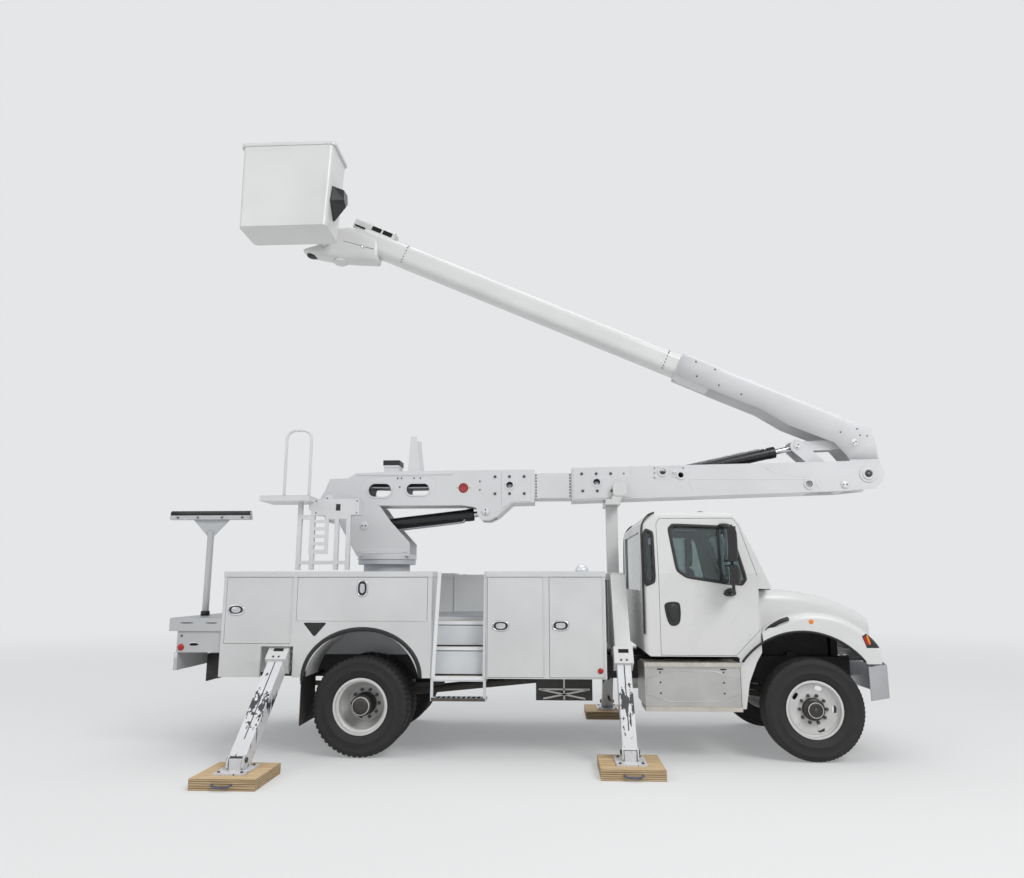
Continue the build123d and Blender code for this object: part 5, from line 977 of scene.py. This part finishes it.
# Cylinders: drawn tube barrels sprayed satin black, chromed rods through stepped glands, and two steel
# feed pipes laid along each barrel.
cylinder_black = coated("cylinder_black", (0.012, 0.012, 0.014), 0, 0.28, 0.2, 5, 0.06, 400, 0, 1, 0.003)[0]
rod_chrome = coated("rod_chrome", (0.60, 0.60, 0.62), 1.0, 0.12, 0.06, 12, 0.02, 500, 0, 1, 0.002)[0]
dress(cylinder_black, "lift_barrel", "elbow_barrel")
dress(rod_chrome, "lift_rod", "elbow_rod")
for name, base, eye, length, radius, pipe_y, pipe_side, lift in (
        ("lift", (-0.250, 2.545), (1.270, 2.720), 1.360, 0.076, 0.050, -1, 0.004),
        ("elbow", (3.620, 3.190), (5.180, 3.530), 1.340, 0.070, 0.045, 1, 0.006)):
    start = np.array((REAR_AXLE + base[0], 0, base[1]))
    aim = np.array((eye[0] - base[0], 0, eye[1] - base[1]))
    aim /= np.linalg.norm(aim)
    up = np.array((-aim[2], 0, aim[0])) * pipe_side
    for k, (low, high, grow) in enumerate(((length - 0.085, length - 0.008, 0.004),
                                           (length - 0.008, length + 0.003, -0.012))):
        carried(f"{name}_gland_{k}", [start + aim * d for d in (low, low + 0.004, high - 0.004, high)], (0, 1, 0),
                disc(radius + grow, 40), name + "_barrel", cylinder_black)
    for k, y in enumerate((-pipe_y, pipe_y)):
        pipe = [start + aim * d + up * (radius + out) + (0, y, 0) for d, out in
                ((0.16, -0.030), (0.17, lift), (0.24, lift + 0.004), (length - 0.22, lift + 0.004),
                 (length - 0.13, lift), (length - 0.12, -0.030))]
        carried(f"{name}_pipe_{k}", eased(pipe, 2, False), (0, 1, 0), disc(0.008), name + "_barrel", bright_steel)

# Elbow lever and link: thick profiled plates that turn the elbow cylinder's push into the upper boom's
# swing, joined by pins under bolted caps.
dress(boom_white, "elbow_lever", "elbow_link")
lever_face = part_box("elbow_lever")[1][1]
pin_caps("link_pin", 5.180, 3.530, lever_face - 0.001, 0.046, "elbow_lever", (0.010, 0.020), 0.009)

# Upper boom: a folded steel base with rolled top edges that stands for the plain one, a filament-wound
# fibreglass tube bolted into its sleeve, and a moulded tip cover with a louvred housing on top.
gelcoat = coated("gelcoat", (0.72, 0.72, 0.71), 0, 0.22, 0.04, 1.5, 0.03, 250, 0, 1, 0.010)[0]
dress(gelcoat, "upper_boom_tube")


def channel_sections(tops, bottoms, half, corner, wall):
    """An upturned channel along the boom. At each station the section climbs one side, turns round two
    quarter circles and comes down the other, square to Y, and an inner copy, one wall in, closes it. A
    point's height is a share of the station's height plus a constant, so all sections are one array."""
    turn = np.linspace(0, np.pi / 2, 9)
    sine, cosine = np.sin(turn), np.cos(turn)
    share = np.concatenate([[0], np.ones(18), [0]])
    rings = []
    for side, curve, drop in ((half, corner, 0), (half - wall, max(corner - wall, 0.004), wall)):
        y = np.concatenate([[-side], -side + curve * (1 - cosine), side - curve * (1 - sine), [side]])
        extra = np.concatenate([[0], curve * (sine - 1) - drop, curve * (cosine - 1) - drop, [0]])
        rings.append(np.stack([y, share, extra]))
    y, share, extra = np.concatenate([rings[0], rings[1][:, ::-1]], 1)
    tops, bottoms = np.asarray(tops, float), np.asarray(bottoms, float)
    height = np.linalg.norm(tops - bottoms, axis=1)[:, None]
    way = (tops - bottoms) / height
    reach = share * height + extra
    x = REAR_AXLE + bottoms[:, :1] + way[:, :1] * reach
    return np.stack([x, np.broadcast_to(y, x.shape), bottoms[:, 1:] + way[:, 1:] * reach], -1)


base_tops = [(3.820, 4.760), (4.350, 4.525), (4.880, 4.290), (5.230, 4.135), (5.570, 3.980), (5.850, 3.850),
             (6.095, 3.735), (6.128, 3.560), (6.150, 3.350)]
base_bottoms = [(3.690, 4.470), (4.215, 4.230), (4.760, 3.990), (5.070, 3.790), (5.350, 3.672), (5.620, 3.560),
                (5.720, 3.440), (5.760, 3.390), (5.780, 3.345)]
sections = channel_sections(base_tops, base_bottoms, 0.190, 0.050, 0.012)
upper_base = finish_mesh("upper_base", sections, tube_faces(*sections.shape[:2]), "upper_boom", boom_white)
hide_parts("upper_boom_base")
slab_pair("elbow_ear", [from_axle([(5.781, 3.3445), (5.860, 3.100), (5.930, 3.020), (6.070, 3.040), (6.130, 3.120),
                                   (6.1495, 3.3492)])], 0.178, 0.190, "upper_boom", boom_white, 0)


def loft(name, centres, ups, widths, heights, power, body, material, around=64):
    """A tube of changing section: at each station a superellipse of the given power, |y/w|^p + |h/t|^p = 1,
    stands square to the line of centres, and both ends are closed."""
    wide, tall = superellipse(around, power)
    widths, heights = np.asarray(widths)[:, None], np.asarray(heights)[:, None]
    points = (np.asarray(centres)[:, None] + (tall * heights)[..., None] * np.asarray(ups)
              + (wide * widths)[..., None] * np.array((0, 1.0, 0)))
    return finish_mesh(name, points, tube_faces(len(points), around), body, material)


tube_start = np.array((REAR_AXLE + 4.100, 0, 4.455))
tube_run = np.array((-4.660, 0, 2.080))
tube_run /= np.linalg.norm(tube_run)
tube_up = np.array((tube_run[2], 0, -tube_run[0]))


def on_tube(distance, rise, y=0.0):
    """A point by the upper tube's line: so far along it from its base, so far above it, and off to the side."""
    return tube_start + tube_run * distance + tube_up * rise + (0, y, 0)


half_widths = np.array([0.172, 0.172, 0.170, 0.168, 0.166, 0.156, 0.150, 0.149])
loft("tube_sleeve", [on_tube(d, 0) for d in (-0.09, -0.04, 0.0, 0.30, 0.312, 0.340, 0.352, 0.400)], tube_up,
     half_widths, half_widths, 5.0, "upper_boom", boom_white)
for k, distance in enumerate((0.56, 4.33)):
    heads_pair(f"tube_bolts_{k}", [on_tube(distance, h, w) for h, w in ((-0.122, 0.122), (-0.090, 0.142),
               (-0.045, 0.145), (0, 0.145), (0.045, 0.145), (0.090, 0.142), (0.122, 0.122))], 0.0085, 0.005,
               "upper_boom", cast_iron)
heads_pair("sleeve_bolts", [on_tube(d, h, 0.1895) for d, h in ((0.12, -0.075), (-0.18, -0.075), (-0.48, -0.075),
           (-0.06, 0.10), (0.20, 0.10))], 0.012, 0.007, "upper_boom")
heads_pair("base_bolts", from_axle([(5.700, 0.190, 3.690), (5.905, 0.190, 3.730), (5.935, 0.190, 3.650),
           (6.020, 0.190, 3.640)]), 0.010, 0.006, "upper_boom")
pin_caps("link_far_pin", 5.860, 3.560, 0.190, 0.046, "upper_boom", (0.014, 0.010), 0.009)
seam = on_plane(from_axle([(5.760, 3.860), (5.730, 3.760), (5.725, 3.690)]), 0.190)
carried_pair("base_bead", eased(seam, 2, False), [(-0.005, -0.002), (0, 0.003), (0.005, -0.002)], "upper_boom",
             boom_white)
for k, distance in enumerate((0.10, -0.20, -0.50)):
    carried(f"top_notch_{k}", [on_tube(distance, 0.175, y) for y in (-0.10, 0.10)], tube_up,
            ridge(0.007, 0.007, -0.02, 0.0085), "upper_boom", black_rubber, smooth=False)
turned("link_far_shaft", [(-0.188, 0.0), (-0.188, 0.030), (0.188, 0.030), (0.188, 0.0)],
       (REAR_AXLE + 5.860, 0, 3.560), "upper_boom", nut_steel, steps=24)
turned("elbow_tube", [(-0.189, 0.042), (-0.189, 0.085), (-0.150, 0.085), (-0.150, 0.042)],
       (REAR_AXLE + 5.980, 0, 3.160), "upper_boom", boom_white)

# The tip cover's stations: distance ahead of the rear axle, lowest and highest Z, and half width.
tip = np.array([(-0.232, 6.150, 6.430, 0.130), (-0.242, 6.138, 6.465, 0.150), (-0.270, 6.134, 6.500, 0.156),
                (-0.450, 6.146, 6.600, 0.160), (-0.640, 6.160, 6.680, 0.160), (-0.800, 6.186, 6.640, 0.158),
                (-0.950, 6.210, 6.500, 0.154), (-1.080, 6.246, 6.390, 0.148), (-1.190, 6.280, 6.358, 0.134),
                (-1.262, 6.304, 6.344, 0.100), (-1.276, 6.314, 6.336, 0.056)])
tip_centres = on_plane(np.stack([REAR_AXLE + tip[:, 0], (tip[:, 1] + tip[:, 2]) / 2], -1), 0)
tip_cover = loft("tip_cover", tip_centres, (0, 0, 1.0), tip[:, 3], (tip[:, 2] - tip[:, 1]) / 2, 3.6, "upper_boom",
                 gelcoat, 96)
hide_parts("boom_tip")
turned("tip_pin", [(-0.2745, 0.0), (-0.2745, 0.058), (-0.150, 0.058), (-0.150, 0.0)],
       (REAR_AXLE - 0.950, 0, 6.390), "upper_boom", boom_white, steps=40)
TIP = 5.02
for k, (low, high, wide, tall, paint) in enumerate(((0.16, -0.43, 0.112, 0.098, gelcoat),
                                                    (-0.45, -0.70, 0.05, 0.018, black_plastic))):
    carried(f"tip_housing_{k}", [on_tube(TIP + d, 0.140) for d in (low, low + 0.3 * (high - low), high)], tube_up,
            [(-wide, -0.06), (-wide, tall * 0.7), (-wide * 0.85, tall), (wide * 0.85, tall), (wide, tall * 0.7),
             (wide, -0.06)], "upper_boom", paint, smooth=False)
# The louvres' slots are black strips of painted shade.
for k, (low, high, rise, half, out) in enumerate(((-0.10, -0.24, 0.173, 0.030, 0.112),
                                                  (-0.265, -0.405, 0.173, 0.030, 0.112),
                                                  (0.13, -0.03, 0.112, 0.012, 0.144))):
    carried_pair(f"louvre_{k}", [on_tube(TIP + d, rise, out) for d in (low, high)], ridge(half, half, -0.004, 0.002),
                 "upper_boom", shadow_black, False, False)
slab_pair("tip_seam", [from_axle([(-0.70, 6.412), (-0.28, 6.282), (-0.28, 6.287), (-0.70, 6.417)])], 0.152, 0.1612,
          "upper_boom", shadow_black, 0)
turned_pair("tip_latch", ((0.155, 0.0), (0.155, 0.030), (0.1635, 0.028), (0.1635, 0.016), (0.1615, 0.015),
                          (0.1615, 0.0)), (REAR_AXLE - 0.425, 6.328), "upper_boom", chrome, 32)
for k, (x, z, radius, paint) in enumerate(((-1.15, 6.292, 0.092, black_rubber), (-0.76, 6.185, 0.105, gelcoat))):
    turned(f"tip_bumper_{k}", [(0.02, 0.0), (0.02, radius), (-0.018, radius), (-0.034, radius * 0.82),
           (-0.038, radius * 0.4), (-0.038, 0.0)], (REAR_AXLE + x, 0, z), "upper_boom", paint, axis="z", steps=40)

# Bucket: a tub for one, of hand-laid fibreglass with a rolled rim, hung beside the tip on its pin, with a
# dark smoked cover over the valve block on the outside of its front wall.
dress(gelcoat, "bucket")
smoked, tree, shader = node_material("smoked", (0.010, 0.011, 0.013), 0, 0.3)
gloss = mapped(tree, noise(tree, node(tree, "TexCoord", {})["Object"], 9), 0.22, 0.42)
feed(tree, shader, {"Coat Weight": 0.3, "Coat Roughness": 0.2, "Roughness": gloss})
kite = [(-0.78, 6.88), (-0.52, 6.90), (-0.46, 6.70), (-0.62, 6.47), (-0.82, 6.66)]
crown = [(-0.74, 6.84), (-0.57, 6.85), (-0.54, 6.74), (-0.62, 6.66), (-0.72, 6.72)]
cover = [np.insert(np.array(outline), 0, REAR_AXLE - 0.700 + lift, 1)
         for lift, outline in ((-0.02, kite), (0.012, kite), (0.15, crown))]
finish_mesh("smoked_cover", cover, tube_faces(3, 5), "bucket", smoked, False)

# What has no finish of its own yet is sprayed with the cab's white enamel.
for name in nodes:
    target = nodes[name]
    if not target.material_slots or target.material_slots[0].link != "OBJECT":
        dress(white_enamel, name)
